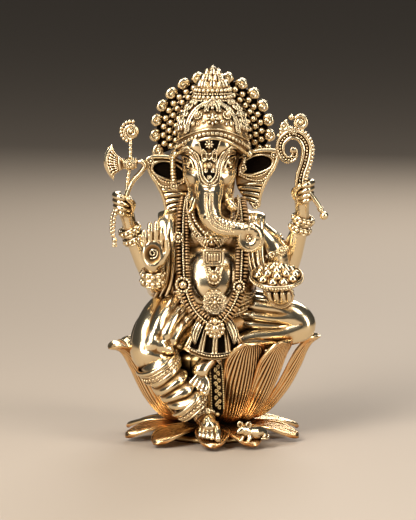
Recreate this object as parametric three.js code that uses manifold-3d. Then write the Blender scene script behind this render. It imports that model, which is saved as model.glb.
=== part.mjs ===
// A seated four-armed elephant-headed figure on a lotus, cast in brass and brazed together from separate
// castings.
// Millimetres, +Z up. The figure faces -Y, and the origin is the middle of the lotus hub's underside.
import * as THREE from "three";
import { mergeVertices } from "three/addons/utils/BufferGeometryUtils.js";
import Module from "manifold-3d";

const wasm = await Module();
wasm.setup();

// ---- Driving dimensions ----
const HEIGHT = 178; // underside of the lotus to the top of the crown
const BRAZE_GAP = 0.32; // room for brazing metal round every joint
const LEVEL = {
  petalFoot: 9, // where the upright petals leave the hub
  seat: 43, // top of the hub, on which the figure sits
  shoulder: 103,
};
const HUB_RADIUS = 23;
const SHOULDER_X = 19;
// The upright petals' tips lie on an ellipse, wider than it is deep.
const UPRIGHT_PETAL = { reachX: 52, reachY: 36, foot: 15, top: 49, width: 20, wall: 1.8 };
const BASE_PETAL = { reach: 44, width: 19, wall: 2.4 };
// Azimuths run from the front (-Y) towards +X. The figure's right shin fills the gap between the last and
// the first.
const UPRIGHT_AZIMUTHS = [27, 54, 83, 118, 153, 188, 222, 257, 287];
const BASE_AZIMUTHS = [0, 25, 70, 107, 144, 180, 216, 252, 288, 323];

const BRASS = { color: 0xb98b42, roughness: 0.32, metalness: 1 };
const PATINA_BRASS = { color: 0x7d5a2a, roughness: 0.45, metalness: 1 };

// ---- Small tools ----
const v = (x, y, z) => new THREE.Vector3(x, y, z);
const mirrored = (points) => points.map((p) => v(-p.x, p.y, p.z));

function bare(geometry) {
  const g = geometry.clone();
  g.deleteAttribute("normal");
  g.deleteAttribute("uv");
  return mergeVertices(g, 1e-4);
}

function solidOf(geometry) {
  const g = bare(geometry);
  return new wasm.Manifold(
    new wasm.Mesh({
      numProp: 3,
      vertProperties: new Float32Array(g.attributes.position.array),
      triVerts: new Uint32Array(g.index.array),
    }),
  );
}

function geometryOf(solid) {
  const m = solid.getMesh();
  const corners = new Float32Array(m.numVert * 3);
  for (let i = 0; i < m.numVert; i++)
    corners.set(m.vertProperties.subarray(i * m.numProp, i * m.numProp + 3), i * 3);
  return new THREE.BufferGeometry()
    .setAttribute("position", new THREE.BufferAttribute(corners, 3))
    .setIndex(new THREE.BufferAttribute(m.triVerts, 1));
}

// One geometry joined from several that overlap.
function joined(...geometries) {
  return geometryOf(geometries.map(solidOf).reduce((whole, next) => whole.add(next)));
}

// The same shape a little larger all round, moved out along its smooth normals.
function swollen(geometry, amount) {
  const g = bare(geometry);
  g.computeVertexNormals();
  const { position, normal } = g.attributes;
  for (let i = 0; i < position.count; i++)
    position.setXYZ(
      i,
      position.getX(i) + normal.getX(i) * amount,
      position.getY(i) + normal.getY(i) * amount,
      position.getZ(i) + normal.getZ(i) * amount,
    );
  return g;
}

function largestBody(solid) {
  return solid.decompose().reduce((best, body) => (body.volume() > best.volume() ? body : best));
}

// ---- Shapes ----
function ball(centre, rx, ry = rx, rz = rx, sides = 10, steps = 6) {
  return new THREE.SphereGeometry(1, sides, steps)
    .rotateX(Math.PI / 2)
    .scale(rx, ry, rz)
    .translate(centre.x, centre.y, centre.z);
}

// A rounded limb: the rings of a sphere carried along a curve, each at the radius given for its place and
// closer together towards the round ends. flat squeezes the section across its side direction.
function limb(points, radii, { flat = 1, sides = 8, steps = 7, side = v(1, 0, 0) } = {}) {
  const curve = new THREE.CatmullRomCurve3(points);
  const g = new THREE.SphereGeometry(1, sides, steps);
  const p = g.attributes.position;
  for (let i = 0; i < p.count; i++) {
    const ring = v(p.getX(i), 0, p.getZ(i)).normalize();
    const t = THREE.MathUtils.clamp((1 + p.getY(i)) / 2, 0, 1);
    const along = curve.getTangent(t);
    const across = side.clone().addScaledVector(along, -side.dot(along)).normalize();
    const up = across.clone().cross(along);
    const end = Math.min(1, 1.5 * 2 * Math.sqrt(t * (1 - t)));
    const place = t * (radii.length - 1);
    const k = Math.min(Math.floor(place), radii.length - 2);
    const radius = THREE.MathUtils.lerp(radii[k], radii[k + 1], place - k) * end;
    const at = curve
      .getPoint(t)
      .addScaledVector(across, ring.x * radius)
      .addScaledVector(up, ring.z * radius * flat);
    p.setXYZ(i, at.x, at.y, at.z);
  }
  return g;
}

// A plain tube along a curve, closed at both ends.
function tube(points, radius, { sides = 6, steps = 8 } = {}) {
  const section = new THREE.Shape();
  section.absarc(0, 0, radius, 0, 2 * Math.PI);
  return new THREE.ExtrudeGeometry(section, {
    steps,
    curveSegments: sides / 2,
    extrudePath: new THREE.CatmullRomCurve3(points),
  });
}

function turned(profile, sides = 16) {
  return new THREE.LatheGeometry(
    profile.map(([r, z]) => new THREE.Vector2(r, z)),
    sides,
  ).rotateX(Math.PI / 2);
}

// A flat plate cut to an outline in X and Z, its front face at y = front.
function plate(outline, front, depth) {
  const shape = new THREE.Shape(outline.map(([x, z]) => new THREE.Vector2(x, z)));
  return new THREE.ExtrudeGeometry(shape, { depth, bevelEnabled: false })
    .rotateX(Math.PI / 2)
    .translate(0, front + depth, 0);
}

// A lotus petal: a box bent along a spine of (radius, height) points, hollowed like a spoon.
function petal(spinePoints, width, wall, cup, outline, azimuth) {
  const spine = new THREE.SplineCurve(spinePoints.map(([r, z]) => new THREE.Vector2(r, z)));
  const g = new THREE.BoxGeometry(2, 1, 1, 4, 5, 1);
  const p = g.attributes.position;
  const turn = (azimuth * Math.PI) / 180;
  for (let i = 0; i < p.count; i++) {
    const t = 1 - (0.5 - p.getY(i)) ** 1.6; // rows crowd towards the round tip
    const across = -p.getX(i);
    const centre = spine.getPoint(t);
    const along = spine.getTangent(t);
    const inward = new THREE.Vector2(-along.y, along.x); // towards the figure
    const half = (width / 2) * outline(t);
    const lift = cup * half * across * across * (1 - t ** 3) + p.getZ(i) * wall;
    const r = centre.x + inward.x * lift;
    const z = centre.y + inward.y * lift;
    const sideways = half * across;
    p.setXYZ(
      i,
      r * Math.sin(turn) + sideways * Math.cos(turn),
      -r * Math.cos(turn) + sideways * Math.sin(turn),
      z,
    );
  }
  return g;
}

// ---- Pieces, in the order in which they are fitted: each is cut to clear the ones before it ----
const pieces = [];
const piece = (name, geometry, finish = BRASS) => pieces.push({ name, geometry, finish });

// Joints of the skeleton.
const SKELETON = {
  rearRight: {
    shoulder: v(-SHOULDER_X + 3, 5, LEVEL.shoulder - 2),
    elbow: v(-30, 3, 80),
    wrist: v(-38.5, -2, 98),
    hand: v(-41.5, -4, 112),
  },
  rearLeft: {
    shoulder: v(SHOULDER_X - 3, 5, LEVEL.shoulder - 2),
    elbow: v(36, 3, 82),
    wrist: v(42.5, -2, 103),
    hand: v(42.5, -4, 118),
  },
  frontRight: {
    shoulder: v(-SHOULDER_X, -3, LEVEL.shoulder - 4),
    elbow: v(-25, -6, 73),
    wrist: v(-28, -22, 80),
    hand: v(-27, -26, 92),
  },
  frontLeft: {
    shoulder: v(SHOULDER_X + 1, -3, LEVEL.shoulder - 4),
    elbow: v(31, -5, 76),
    wrist: v(32, -20, 71),
    hand: v(31, -28, 73),
  },
};

// Torso: chest, pot belly and hips, with a spigot that drops into the hub.
const SPIGOT = { radius: 7, foot: 26 };
function torso() {
  const chest = ball(v(0, -3, 97), 21, 17, 16, 14, 7);
  const belly = ball(v(0, -9, 75), 20.5, 20.5, 20.5, 14, 9);
  const hips = ball(v(0, -2, 56), 25, 20.5, 15, 14, 7);
  const neck = limb([v(0, -2, 100), v(0, -3, 118)], [10, 10], { steps: 4 });
  const spigot = turned([[0, SPIGOT.foot], [SPIGOT.radius, SPIGOT.foot], [SPIGOT.radius, 66], [0, 66]], 10);
  return joined(chest, belly, hips, neck, spigot);
}
piece("torso", torso());

// Hub of the lotus.
const HUB_PROFILE = [
  [0, 0],
  [HUB_RADIUS, 0],
  [HUB_RADIUS, 2],
  [13, 8],
  [13, 12],
  [22, 28],
  [28, LEVEL.seat - 4],
  [27, LEVEL.seat],
  [0, LEVEL.seat],
];
piece("lotus_hub", turned(HUB_PROFILE));

const faceLine = [v(0, 0, 152), v(0, -5, 141), v(0, -9, 131), v(-0.6, -15, 121), v(-1, -20, 113)];
piece("head", limb(faceLine, [11, 14.8, 15, 12.6, 7.5], { steps: 9, sides: 12 }));

// Legs.
piece("left_foot", limb([v(-1, -26, 37.5), v(-6, -30, 36), v(-9.5, -32, 34.5)], [4.5, 4.6, 3.8]));
piece("right_foot", limb([v(-3.5, -31, 12), v(-1.5, -37, 9), v(0, -43, 6.6)], [5, 5, 4.4], { flat: 0.8 }));
piece(
  "right_calf",
  limb([v(-29, -26, 44), v(-23, -29, 34), v(-13, -30.5, 23), v(-5.5, -31, 15)], [9, 9.6, 8.6, 6.6], {
    steps: 8,
    sides: 10,
  }),
);
piece(
  "right_thigh",
  limb([v(-8, -4, 59), v(-19, -15, 57), v(-25.5, -24, 50), v(-27, -27, 43)], [13, 14.2, 12.6, 8.5], {
    steps: 8,
    sides: 12,
  }),
);
piece(
  "left_leg",
  limb(
    [
      v(8, -4, 60),
      v(22, -9, 60),
      v(38, -12, 58.5),
      v(43, -13, 53),
      v(34, -14, 48),
      v(18, -17, 46),
      v(7, -21, 42),
    ],
    [12, 11.4, 9.6, 7.6, 6.6, 6, 4.8],
    { steps: 14, sides: 10, side: v(0, 1, 0) },
  ),
);

// Goad: a crested hook that curls over above the rear left hand, with a thin tail below it.
function goad() {
  const hook = limb(
    [
      v(40.8, -6, 117),
      v(41, -6.5, 124),
      v(44, -6.5, 133),
      v(44.6, -6.5, 140),
      v(41, -6.5, 145),
      v(35, -6.5, 145),
      v(31.6, -6.5, 140),
      v(33, -6.5, 134.5),
      v(38, -6.5, 134),
    ],
    [2.4, 2.6, 2.8, 2.8, 2.4, 1.6],
    { steps: 18, side: v(0, 1, 0) },
  );
  const crest = ball(v(36.5, -6.5, 149.5), 4.6, 2, 3.6, 8, 5);
  const curl = ball(v(42, -6.5, 151), 4.2, 2.2, 4.4, 8, 5);
  const tail = tube([v(41.2, -7, 121), v(47, -9, 116.5), v(50.5, -9.5, 111), v(52.8, -9.5, 107.4)], 1.3);
  const knob = ball(v(52.9, -9.5, 107), 2.2, 2.2, 2.2, 6, 5);
  return joined(hook, crest, curl, tail, knob);
}
piece("goad", goad());

// Hands. The rear ones are closed fists whose wrists stand in the cuffs below them.
function closedHand({ wrist, hand }) {
  const fist = ball(hand.clone().add(v(0, -1.5, 1)), 4.6, 5, 5.4);
  const palm = limb([wrist, hand.clone().add(v(0, 0, 2))], [4.6, 4.8]);
  return joined(fist, palm);
}
piece("rear_right_hand", closedHand(SKELETON.rearRight));
piece("rear_left_hand", closedHand(SKELETON.rearLeft));
piece(
  "front_right_hand",
  limb([v(-28, -24, 81.5), v(-27.5, -27, 89), v(-27, -27.5, 97), v(-27, -27, 107)], [5, 6.6, 6.4, 5.4], {
    flat: 0.45,
  }),
);
piece(
  "front_left_hand",
  limb([v(32, -16, 69.5), v(32, -23, 70.5), v(30, -33, 72.5)], [4.4, 6, 5], { flat: 0.5 }),
);

// Forearms and upper arms, each with its rounded end let into the next.
const arm = (from, to, radii) => limb([from, from.clone().lerp(to, 0.5), to], radii);
for (const [side, s] of [["right", SKELETON.rearRight], ["left", SKELETON.rearLeft]]) {
  const cuff = ball(s.wrist, 6.8, 6, 4.8);
  const below = s.elbow.clone().addScaledVector(s.wrist.clone().sub(s.elbow).normalize(), -5);
  piece(`rear_${side}_forearm`, joined(arm(below, s.wrist, [4.8, 5.4, 4.4]), cuff));
  const past = s.elbow.clone().addScaledVector(s.elbow.clone().sub(s.shoulder).normalize(), 4);
  piece(`rear_${side}_upper_arm`, arm(s.shoulder, past, [6.5, 6.6, 5.2]));
}
for (const [side, s] of [["right", SKELETON.frontRight], ["left", SKELETON.frontLeft]]) {
  const upper = arm(s.shoulder, s.elbow, [7, 7.6, 5.6]);
  const fore = arm(s.elbow.clone().add(v(0, 3, -1)), s.wrist, [6, 6.2, 5]);
  const cuff = ball(s.wrist.clone().add(v(0, 1, 0)), 7.4, 4.6, 6);
  piece(`front_${side}_arm`, joined(upper, fore, cuff));
}

// Trunk: falls from the face, swings to the figure's left and ends in a flat coil.
function trunk() {
  const fall = limb(
    [
      v(-1, -22, 122),
      v(-1.8, -29, 115),
      v(-0.8, -32, 110),
      v(1.8, -33, 106.5),
      v(6, -34, 104.2),
      v(11, -34, 103.6),
      v(16, -34, 103),
    ],
    [7.5, 6.6, 5.4, 4.6, 4.1, 3.8, 3.4],
    { steps: 12, sides: 10 },
  );
  const coil = ball(v(17, -34, 99.4), 6.9, 4.2, 6.9, 12, 6);
  return joined(fall, coil);
}
piece("trunk", trunk());

// Tusks: the figure's right one is whole, the left one is broken short and ringed.
piece("right_tusk", limb([v(-8, -19, 118), v(-10, -25, 113), v(-11, -29, 110.5)], [2, 1.7, 0.9]));
piece("left_tusk", limb([v(8, -19, 119), v(10.5, -25, 114), v(12.5, -28, 110.8)], [2.6, 2.6, 2.2]));

// Halo: a plate behind the crown with a scalloped rim, one lobe to each curl.
const HALO = { centreZ: 145, y: 5, radius: 26.5, lobes: 15, lobeRadius: 3.4, from: -0.42, depth: 5 };
function halo() {
  const span = Math.PI - 2 * HALO.from;
  const rim = [];
  for (let k = 0; k < HALO.lobes; k++) {
    const a = HALO.from + (span * k) / (HALO.lobes - 1);
    for (const turn of [-1.1, 0, 1.1])
      rim.push([
        HALO.radius * Math.cos(a) + HALO.lobeRadius * Math.cos(a + turn),
        HALO.centreZ + HALO.radius * Math.sin(a) + HALO.lobeRadius * Math.sin(a + turn),
      ]);
  }
  const foot = [[-13, 127], [13, 127]];
  return plate([...rim, ...foot], HALO.y, HALO.depth);
}
piece("halo", halo(), PATINA_BRASS);

// Crown: a turned dome whose brim dips at the sides.
const CROWN_PROFILE = [
  [0, 140],
  [15.8, 140],
  [17.6, 142],
  [17.8, 146],
  [16.8, 151],
  [14.6, 155],
  [10.8, 160],
  [9.6, 163],
  [9.4, 166],
  [7.4, 168],
  [0, 168],
];
const CROWN_Y = -5;
const BRIM_DIP = 0.018;
function crown() {
  const g = turned(CROWN_PROFILE);
  const p = g.attributes.position;
  for (let i = 0; i < p.count; i++) p.setZ(i, p.getZ(i) - BRIM_DIP * p.getX(i) ** 2);
  return g.translate(0, CROWN_Y, 0);
}
piece("crown", crown());
piece(
  "crown_finial",
  turned(
    [[0, 165], [3, 165], [3, 169.4], [5.6, 170], [5.2, 173], [3, 175.4], [1.4, HEIGHT - 0.8], [0, HEIGHT]],
    10,
  ).translate(0, CROWN_Y, 0),
);

// Ears: thin fans from the side of the head, their tips swept up.
const EAR = [
  [12.5, 133.5],
  [19, 136.4],
  [25, 137],
  [31, 135.4],
  [29.6, 129.5],
  [26, 124],
  [22.6, 118.5],
  [21.4, 110],
  [15, 113],
  [11.5, 122],
];
const EAR_FRONT = -3;
const EAR_DEPTH = 4.2;
const earPlate = (outline) => plate(outline, EAR_FRONT, EAR_DEPTH);
piece("left_ear", earPlate(EAR));
piece("right_ear", earPlate(EAR.map(([x, z]) => [-x, z - 3]).reverse()));

// Brow ornament: a tongue-shaped plate that follows the forehead down to the trunk.
piece(
  "brow_ornament",
  limb([v(0, -19, 146), v(0, -23.4, 138), v(-0.5, -26.6, 129), v(-0.8, -28.6, 122.5)], [6.5, 6.2, 4.6, 2.4], {
    flat: 0.28,
  }),
);

// Axe, staff and flower in the rear right hand.
function axe() {
  const hand = SKELETON.rearRight.hand;
  const socket = v(-39, -6, 131.5);
  const foot = hand.clone().add(v(0.5, -2, -3));
  const staff = tube([foot, v(-40.3, -5.5, 122), socket, v(-38.6, -5.5, 144)], 1.3);
  const flower = ball(v(-38.8, -5.5, 145.5), 5, 2.4, 5, 12, 5);
  const collar = new THREE.BoxGeometry(6.5, 5, 6).translate(socket.x, socket.y, socket.z);
  const upper = [[-3, 1.6], [-6, 5.5], [-8, 7], [-11.5, 4], [-12.5, -1]];
  const lower = [[-11, -5.5], [-8, -8], [-6.5, -5], [-3, -1.6]];
  const edge = [...upper, ...lower].map(([x, z]) => [socket.x + x, socket.z + z]);
  const blade = plate(edge, socket.y - 1.1, 2.2);
  const haft = tube(
    [v(-37, -6, 132), v(-33, -6, 131), v(-33.5, -5.5, 128), v(-38.5, -5, 121.5), v(-41, -5, 116)],
    1.4,
  );
  return joined(staff, flower, collar, blade, haft);
}
piece("axe", axe());

const strand = [v(-43.5, -8.5, 112.5), v(-46.5, -8, 108), v(-46.6, -7, 100), v(-46.8, -6.5, 95)];
piece("prayer_beads", tube(strand, 1.6));

// Bowl of sweets, tipped a little towards the front.
const BOWL = { centre: v(30, -27, 80.5), radius: 12.6, depth: 6, wall: 1.3, tilt: 0.34 };
const tipped = (g) => g.rotateX(BOWL.tilt).translate(BOWL.centre.x, BOWL.centre.y, BOWL.centre.z);
function bowl() {
  const { radius: r, depth: d, wall: w } = BOWL;
  return tipped(
    turned([
      [0, -d],
      [r * 0.45, -d],
      [r * 0.85, -d * 0.45],
      [r, 0],
      [r - w, 0],
      [r * 0.75, -d * 0.42],
      [r * 0.4, -d + w],
      [0, -d + w],
    ]),
  );
}
function sweets() {
  const heap = ball(v(0, 0, -1.6), BOWL.radius * 0.86, BOWL.radius * 0.86, 4.2, 10, 5);
  const around = [0, 1, 2, 3, 4].map((k) => {
    const a = (k * 2 * Math.PI) / 5;
    return ball(v(5.6 * Math.cos(a), 5.6 * Math.sin(a), 1.6), 3.1, 3.1, 3.1, 6, 4);
  });
  return tipped(joined(heap, ...around, ball(v(0, 0, 3), 3.2, 3.2, 3.2, 6, 4)));
}
piece("bowl", bowl());
piece("sweets", sweets());

// Shawl: a sheet down the back, drawn in at the waist, with an end brought forward over each shoulder.
const SHAWL = { halfWidth: 23, depth: 17, wall: 2.4, foot: 50, top: 107, wrap: 1.4, waist: 0.1, flare: 0.32 };
function shawl() {
  const sheet = new THREE.BoxGeometry(2, 1, 1, 6, 4, 1);
  const p = sheet.attributes.position;
  for (let i = 0; i < p.count; i++) {
    const up = p.getY(i) + 0.5;
    const around = -p.getX(i) * SHAWL.wrap;
    const out = p.getZ(i) * SHAWL.wall;
    const fullness = 1 - SHAWL.waist * Math.sin(Math.PI * up) + SHAWL.flare * Math.max(0, 0.45 - up);
    p.setXYZ(
      i,
      (SHAWL.halfWidth * fullness + out) * Math.sin(around),
      (SHAWL.depth * fullness + out) * Math.cos(around),
      SHAWL.foot + (SHAWL.top - SHAWL.foot) * up - 5 * Math.cos(around) * up ** 4,
    );
  }
  const ends = [
    [v(-17, 13, 100), v(-20.5, 4, 107), v(-24, -5, 98), v(-25.5, -8, 84), v(-26.5, -9, 70)],
    [v(17, 13, 100), v(21.5, 4, 107), v(24.5, -7, 98), v(26.5, -9, 86), v(29, -9, 74)],
  ];
  const fold = { flat: 0.36, steps: 9, side: v(1, 0.2, 0) };
  return joined(sheet, ...ends.map((points) => limb(points, [7, 7.5, 6.5, 5.5, 4], fold)));
}
piece("shawl", shawl());

piece(
  "waistband",
  turned([[17, 60], [21.6, 60.5], [21.6, 65.5], [17, 66], [17, 60]])
    .scale(1.2, 1.08, 1)
    .translate(0, -6, 0),
);

// Jewellery on the chest and belly.
const garlandSide = [
  v(13.5, -8, 115),
  v(15, -16, 108),
  v(15, -20, 98),
  v(15, -24.5, 86),
  v(14, -28, 74),
  v(8.5, -32, 64),
];
const garlandPath = [...mirrored(garlandSide), v(0.8, -35, 58.5), ...garlandSide.toReversed()];
piece("garland", tube(garlandPath, 2.5, { steps: 24 }));
const collarPath = [
  v(-11.5, -9, 115),
  v(-11, -18.5, 106),
  v(-5, -22.5, 97),
  v(0, -23.8, 94),
  v(6, -22.5, 97),
  v(11.5, -18.5, 106),
  v(12, -9, 115),
];
piece("collar_necklace", tube(collarPath, 2.2, { steps: 14 }));
piece(
  "amulet",
  joined(
    new THREE.BoxGeometry(9, 5, 7).translate(0.4, -28, 89.5),
    ball(v(0.8, -31, 80.5), 3.9, 2.4, 4.2),
    new THREE.BoxGeometry(4, 3, 8).translate(0.6, -29.5, 85),
  ),
);
piece("waist_flower", ball(v(1, -31.5, 69), 6.2, 2.4, 5.8, 12, 5));

// Cloth at the front: pleated apron, and the end of the waist sash below it.
function apron() {
  const g = new THREE.BoxGeometry(2, 1, 1, 6, 3, 1);
  const p = g.attributes.position;
  for (let i = 0; i < p.count; i++) {
    const down = 0.5 - p.getY(i);
    const across = p.getX(i);
    p.setXYZ(
      i,
      1 + 14.5 * across * (0.52 + 0.48 * down),
      -30 - 4.5 * down + 3.2 * across * across - p.getZ(i) * 2.6,
      59 - 17 * down + 3.5 * across * across,
    );
  }
  return g;
}
piece("apron", apron());
piece(
  "sash_end",
  limb([v(0.8, -27, 40), v(1.6, -31, 31), v(2, -31.5, 23), v(2.2, -30.5, 14)], [3, 3.4, 3.6, 3.2], {
    flat: 0.5,
  }),
  PATINA_BRASS,
);

// Lotus.
// Outward and upward course of an upright petal, as shares of the way from its foot to its tip.
const UPRIGHT_COURSE = [[0, 0], [0.3, 0.08], [0.6, 0.4], [0.81, 0.7], [0.93, 0.93], [1, 1]];
const roundTip = (u) => Math.sqrt(1 - Math.max(0, u) ** 2);
// Share of the full width at a share t of the way out: it swells from the foot and closes in a round tip.
const petalOutline = (foot, shoulder) => (t) => {
  const swell = Math.sin((Math.PI / 2) * Math.min(1, t / shoulder));
  const tip = roundTip((t - shoulder) / (1 - shoulder));
  return foot + (1 - foot) * swell - 0.86 * (1 - tip);
};
const uprightOutline = petalOutline(0.5, 0.68);
function uprightPetal(azimuth) {
  const { reachX, reachY, foot, top, width, wall } = UPRIGHT_PETAL;
  const a = (azimuth * Math.PI) / 180;
  const reach = 1 / Math.hypot(Math.sin(a) / reachX, Math.cos(a) / reachY);
  const spine = UPRIGHT_COURSE.map(([out, up]) => [
    foot + (reach - foot) * out,
    LEVEL.petalFoot + (top - LEVEL.petalFoot) * up,
  ]);
  return petal(spine, width, wall, 0.32, uprightOutline, azimuth);
}
UPRIGHT_AZIMUTHS.forEach((azimuth, k) => piece(`upper_petal_${k + 1}`, uprightPetal(azimuth)));
const baseSpine = [[14, 6.5], [24, 3.6], [34, 2], [BASE_PETAL.reach, 3.2]];
const baseOutline = petalOutline(0.3, 0.55);
BASE_AZIMUTHS.forEach((azimuth, k) =>
  piece(
    `base_petal_${k + 1}`,
    petal(baseSpine, BASE_PETAL.width, BASE_PETAL.wall, 0.16, baseOutline, azimuth),
  ),
);
piece(
  "mouse",
  joined(
    limb([v(23, -31, 6.4), v(19.5, -35, 8), v(15, -38, 8.6)], [3, 3.9, 2.8]),
    ball(v(13.8, -38.5, 10.4), 3, 2.6, 2.6, 8, 5),
  ),
);
// ---- Fit and place ----
const idol = new THREE.Group();
const fitted = [];
for (const { name, geometry, finish } of pieces) {
  geometry.computeBoundingBox();
  let solid = solidOf(geometry);
  for (const earlier of fitted)
    if (earlier.box.intersectsBox(geometry.boundingBox)) solid = solid.subtract(earlier.cutter);
  const grown = swollen(geometry, BRAZE_GAP);
  grown.computeBoundingBox();
  fitted.push({ cutter: solidOf(grown), box: grown.boundingBox });
  const mesh = new THREE.Mesh(geometryOf(largestBody(solid)), new THREE.MeshStandardMaterial(finish));
  mesh.name = name;
  idol.add(mesh);
}

export default idol;
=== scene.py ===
"""The look of a cast and polished brass idol: every casting is modelled here over its plain CAD solid.

Lengths are millimetres until a mesh is made. +Z is up and the figure faces -Y.
"""

import math

import bmesh
import bpy
import numpy as np
import openvdb
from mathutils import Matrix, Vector
from mathutils.bvhtree import BVHTree


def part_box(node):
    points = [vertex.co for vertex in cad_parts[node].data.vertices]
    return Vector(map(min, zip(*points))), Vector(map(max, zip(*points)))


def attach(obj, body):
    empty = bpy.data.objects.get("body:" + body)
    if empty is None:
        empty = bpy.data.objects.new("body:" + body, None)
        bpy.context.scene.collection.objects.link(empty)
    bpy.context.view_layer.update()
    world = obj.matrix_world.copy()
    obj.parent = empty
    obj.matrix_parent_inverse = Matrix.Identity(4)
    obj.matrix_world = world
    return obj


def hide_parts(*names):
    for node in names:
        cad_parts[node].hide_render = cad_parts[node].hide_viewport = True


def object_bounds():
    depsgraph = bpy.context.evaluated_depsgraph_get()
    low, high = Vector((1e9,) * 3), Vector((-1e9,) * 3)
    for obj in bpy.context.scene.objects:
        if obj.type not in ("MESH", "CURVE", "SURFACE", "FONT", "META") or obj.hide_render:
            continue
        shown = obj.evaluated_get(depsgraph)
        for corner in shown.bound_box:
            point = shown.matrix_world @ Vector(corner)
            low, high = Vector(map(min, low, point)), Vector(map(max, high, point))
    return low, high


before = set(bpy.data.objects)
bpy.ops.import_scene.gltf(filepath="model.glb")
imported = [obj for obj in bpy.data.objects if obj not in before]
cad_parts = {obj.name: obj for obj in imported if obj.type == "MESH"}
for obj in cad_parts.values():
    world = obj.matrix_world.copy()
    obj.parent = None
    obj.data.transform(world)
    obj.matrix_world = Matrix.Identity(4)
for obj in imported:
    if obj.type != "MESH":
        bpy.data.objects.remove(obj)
cad_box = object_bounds()

MM = 0.001
ACROSS, DEEP, UPWARD, FORWARD = (1, 0, 0), (0, 1, 0), (0, 0, 1), (0, -1, 0)
SIDES = (-1, 1)


# ---------------------------------------------------------------- places taken from the frame
def box(node):
    lo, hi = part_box(node)
    return np.array(lo) / MM, np.array(hi) / MM


def middle_of(node):
    return np.mean(box(node), 0)


def at(*c):
    return np.array(c, float)


# ---------------------------------------------------------------- curves
def unit(a):
    a = np.asarray(a, float)
    return a / np.maximum(np.linalg.norm(a, axis=-1, keepdims=True), 1e-9)


def full_turn(n):
    """n angles evenly round a circle."""
    return np.linspace(0, 2 * np.pi, n, endpoint=False)


def at_share(path, t):
    """The points at the shares t of a path's list of points."""
    places = np.linspace(0, 1, len(path))
    return np.stack([np.interp(t, places, path[:, i]) for i in range(path.shape[1])], 1)


def length_of(path):
    return np.linalg.norm(np.diff(path, axis=0), axis=1).sum()


def evenly(path, n):
    """n points of a path, evenly spaced along it."""
    path = np.asarray(path, float)
    walked = np.r_[0, np.cumsum(np.linalg.norm(np.diff(path, axis=0), axis=1))]
    even = np.linspace(0, walked[-1], n)
    return np.stack([np.interp(even, walked, path[:, i]) for i in range(path.shape[1])], 1)


def through(points, n):
    """n evenly spaced points on a smooth curve through the given ones."""
    p = np.asarray(points, float)
    q = np.vstack([2 * p[0] - p[1], p, 2 * p[-1] - p[-2]])
    t = np.linspace(0, len(p) - 1, 24 * len(p))
    k = np.minimum(t.astype(int), len(p) - 2)
    s = (t - k)[:, None]
    a, b, c, d = q[k], q[k + 1], q[k + 2], q[k + 3]
    dense = b + 0.5 * s * ((c - a) + s * ((2 * a - 5 * b + 4 * c - d) + s * (3 * b - a - 3 * c + d)))
    return evenly(dense, n)


def rails(path, side, loop=False):
    """Directions across and up at each point of a path, the first as near to side as it can be."""
    if loop:
        along = unit(np.roll(path, -1, 0) - np.roll(path, 1, 0))
    else:
        along = unit(np.gradient(path, axis=0))
    side = np.broadcast_to(np.asarray(side, float), path.shape)
    across = unit(side - along * np.sum(along * side, 1, keepdims=True))
    return across, np.cross(across, along)


def spread(values, t):
    """One number, or a list spread evenly along t."""
    values = np.atleast_1d(np.asarray(values, float))
    return np.interp(t, np.linspace(0, 1, len(values)), values)


# ---------------------------------------------------------------- waves and steps
def ridge(x, sharp=0.7):
    """1 on the crest at every whole number, 0 in the groove halfway."""
    return np.abs(np.cos(np.pi * x)) ** sharp


def smooth(x, lo, hi):
    """0 below lo, 1 above hi and an even rise between."""
    t = np.clip((x - lo) / (hi - lo), 0, 1)
    return t * t * (3 - 2 * t)


def bell(x, centre, width, power=2):
    """1 at the centre, falling to 0 on both sides."""
    return np.exp(-(((x - centre) / width) ** power))


def fuller(x, power=0.4):
    """A number from -1 to 1 moved towards its end, so that a round edge turns square."""
    return np.sign(x) * np.abs(x) ** power


def closing(v, sharp):
    """1 along a skin and nearly 0 at its two ends."""
    return np.sqrt(np.clip(1 - np.abs(2 * v - 1) ** sharp, 0.002, 1))


# ---------------------------------------------------------------- surfaces: (points, faces)
def quads(rows, cols):
    """The faces of a grid of points whose columns close on themselves."""
    i = np.arange(rows - 1)[:, None]
    j = np.arange(cols)[None]
    a, b = i * cols + j, i * cols + (j + 1) % cols
    return np.stack([a, b, b + cols, a + cols], -1).reshape(-1, 4)


def sweep(path, radius, flat=1.0, side=ACROSS, around=24, relief=None, blunt=1.0, loop=False, steps=None):
    """A tube along a path with round ends, or a closed ring. relief(turn, t) raises its surface."""
    path = np.asarray(path, float)
    if loop:
        t = np.linspace(0, 1, len(path), endpoint=False)
        centre = path
        end = np.ones(len(t))
    else:
        s = np.linspace(0, 1, steps or len(path))
        t = s - 0.14 * np.sin(2 * np.pi * s)
        centre = at_share(path, t)
        run = np.minimum(t, 1 - t) * length_of(path)
        end = np.sqrt(np.clip(1 - (1 - np.clip(run / (blunt * spread(radius, t)), 0, 1)) ** 2, 1e-4, 1))
    across, up = rails(centre, side, loop)
    turn = full_turn(around)[None]
    r = (spread(radius, t) * end)[:, None]
    lift = relief(turn, t[:, None]) * end[:, None] if relief else 0
    x = (r + lift) * np.cos(turn)
    y = (r * spread(flat, t)[:, None] + lift) * np.sin(turn)
    points = centre[:, None] + across[:, None] * x[..., None] + up[:, None] * y[..., None]
    faces = quads(len(t), around)
    if loop:
        last = (len(t) - 1) * around + np.arange(around)
        first = np.arange(around)
        faces = np.vstack([faces, np.stack([last, np.roll(last, -1), np.roll(first, -1), first], 1)])
    return points.reshape(-1, 3), faces


def loop_of(path, radius, side=UPWARD, around=8, **more):
    """A rod bent into a closed ring."""
    return sweep(path, radius, side=side, around=around, loop=True, **more)


def wire(path, radius, around=8, **more):
    """A rod that lies along the front of something."""
    return sweep(path, radius, side=DEEP, around=around, **more)


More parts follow.
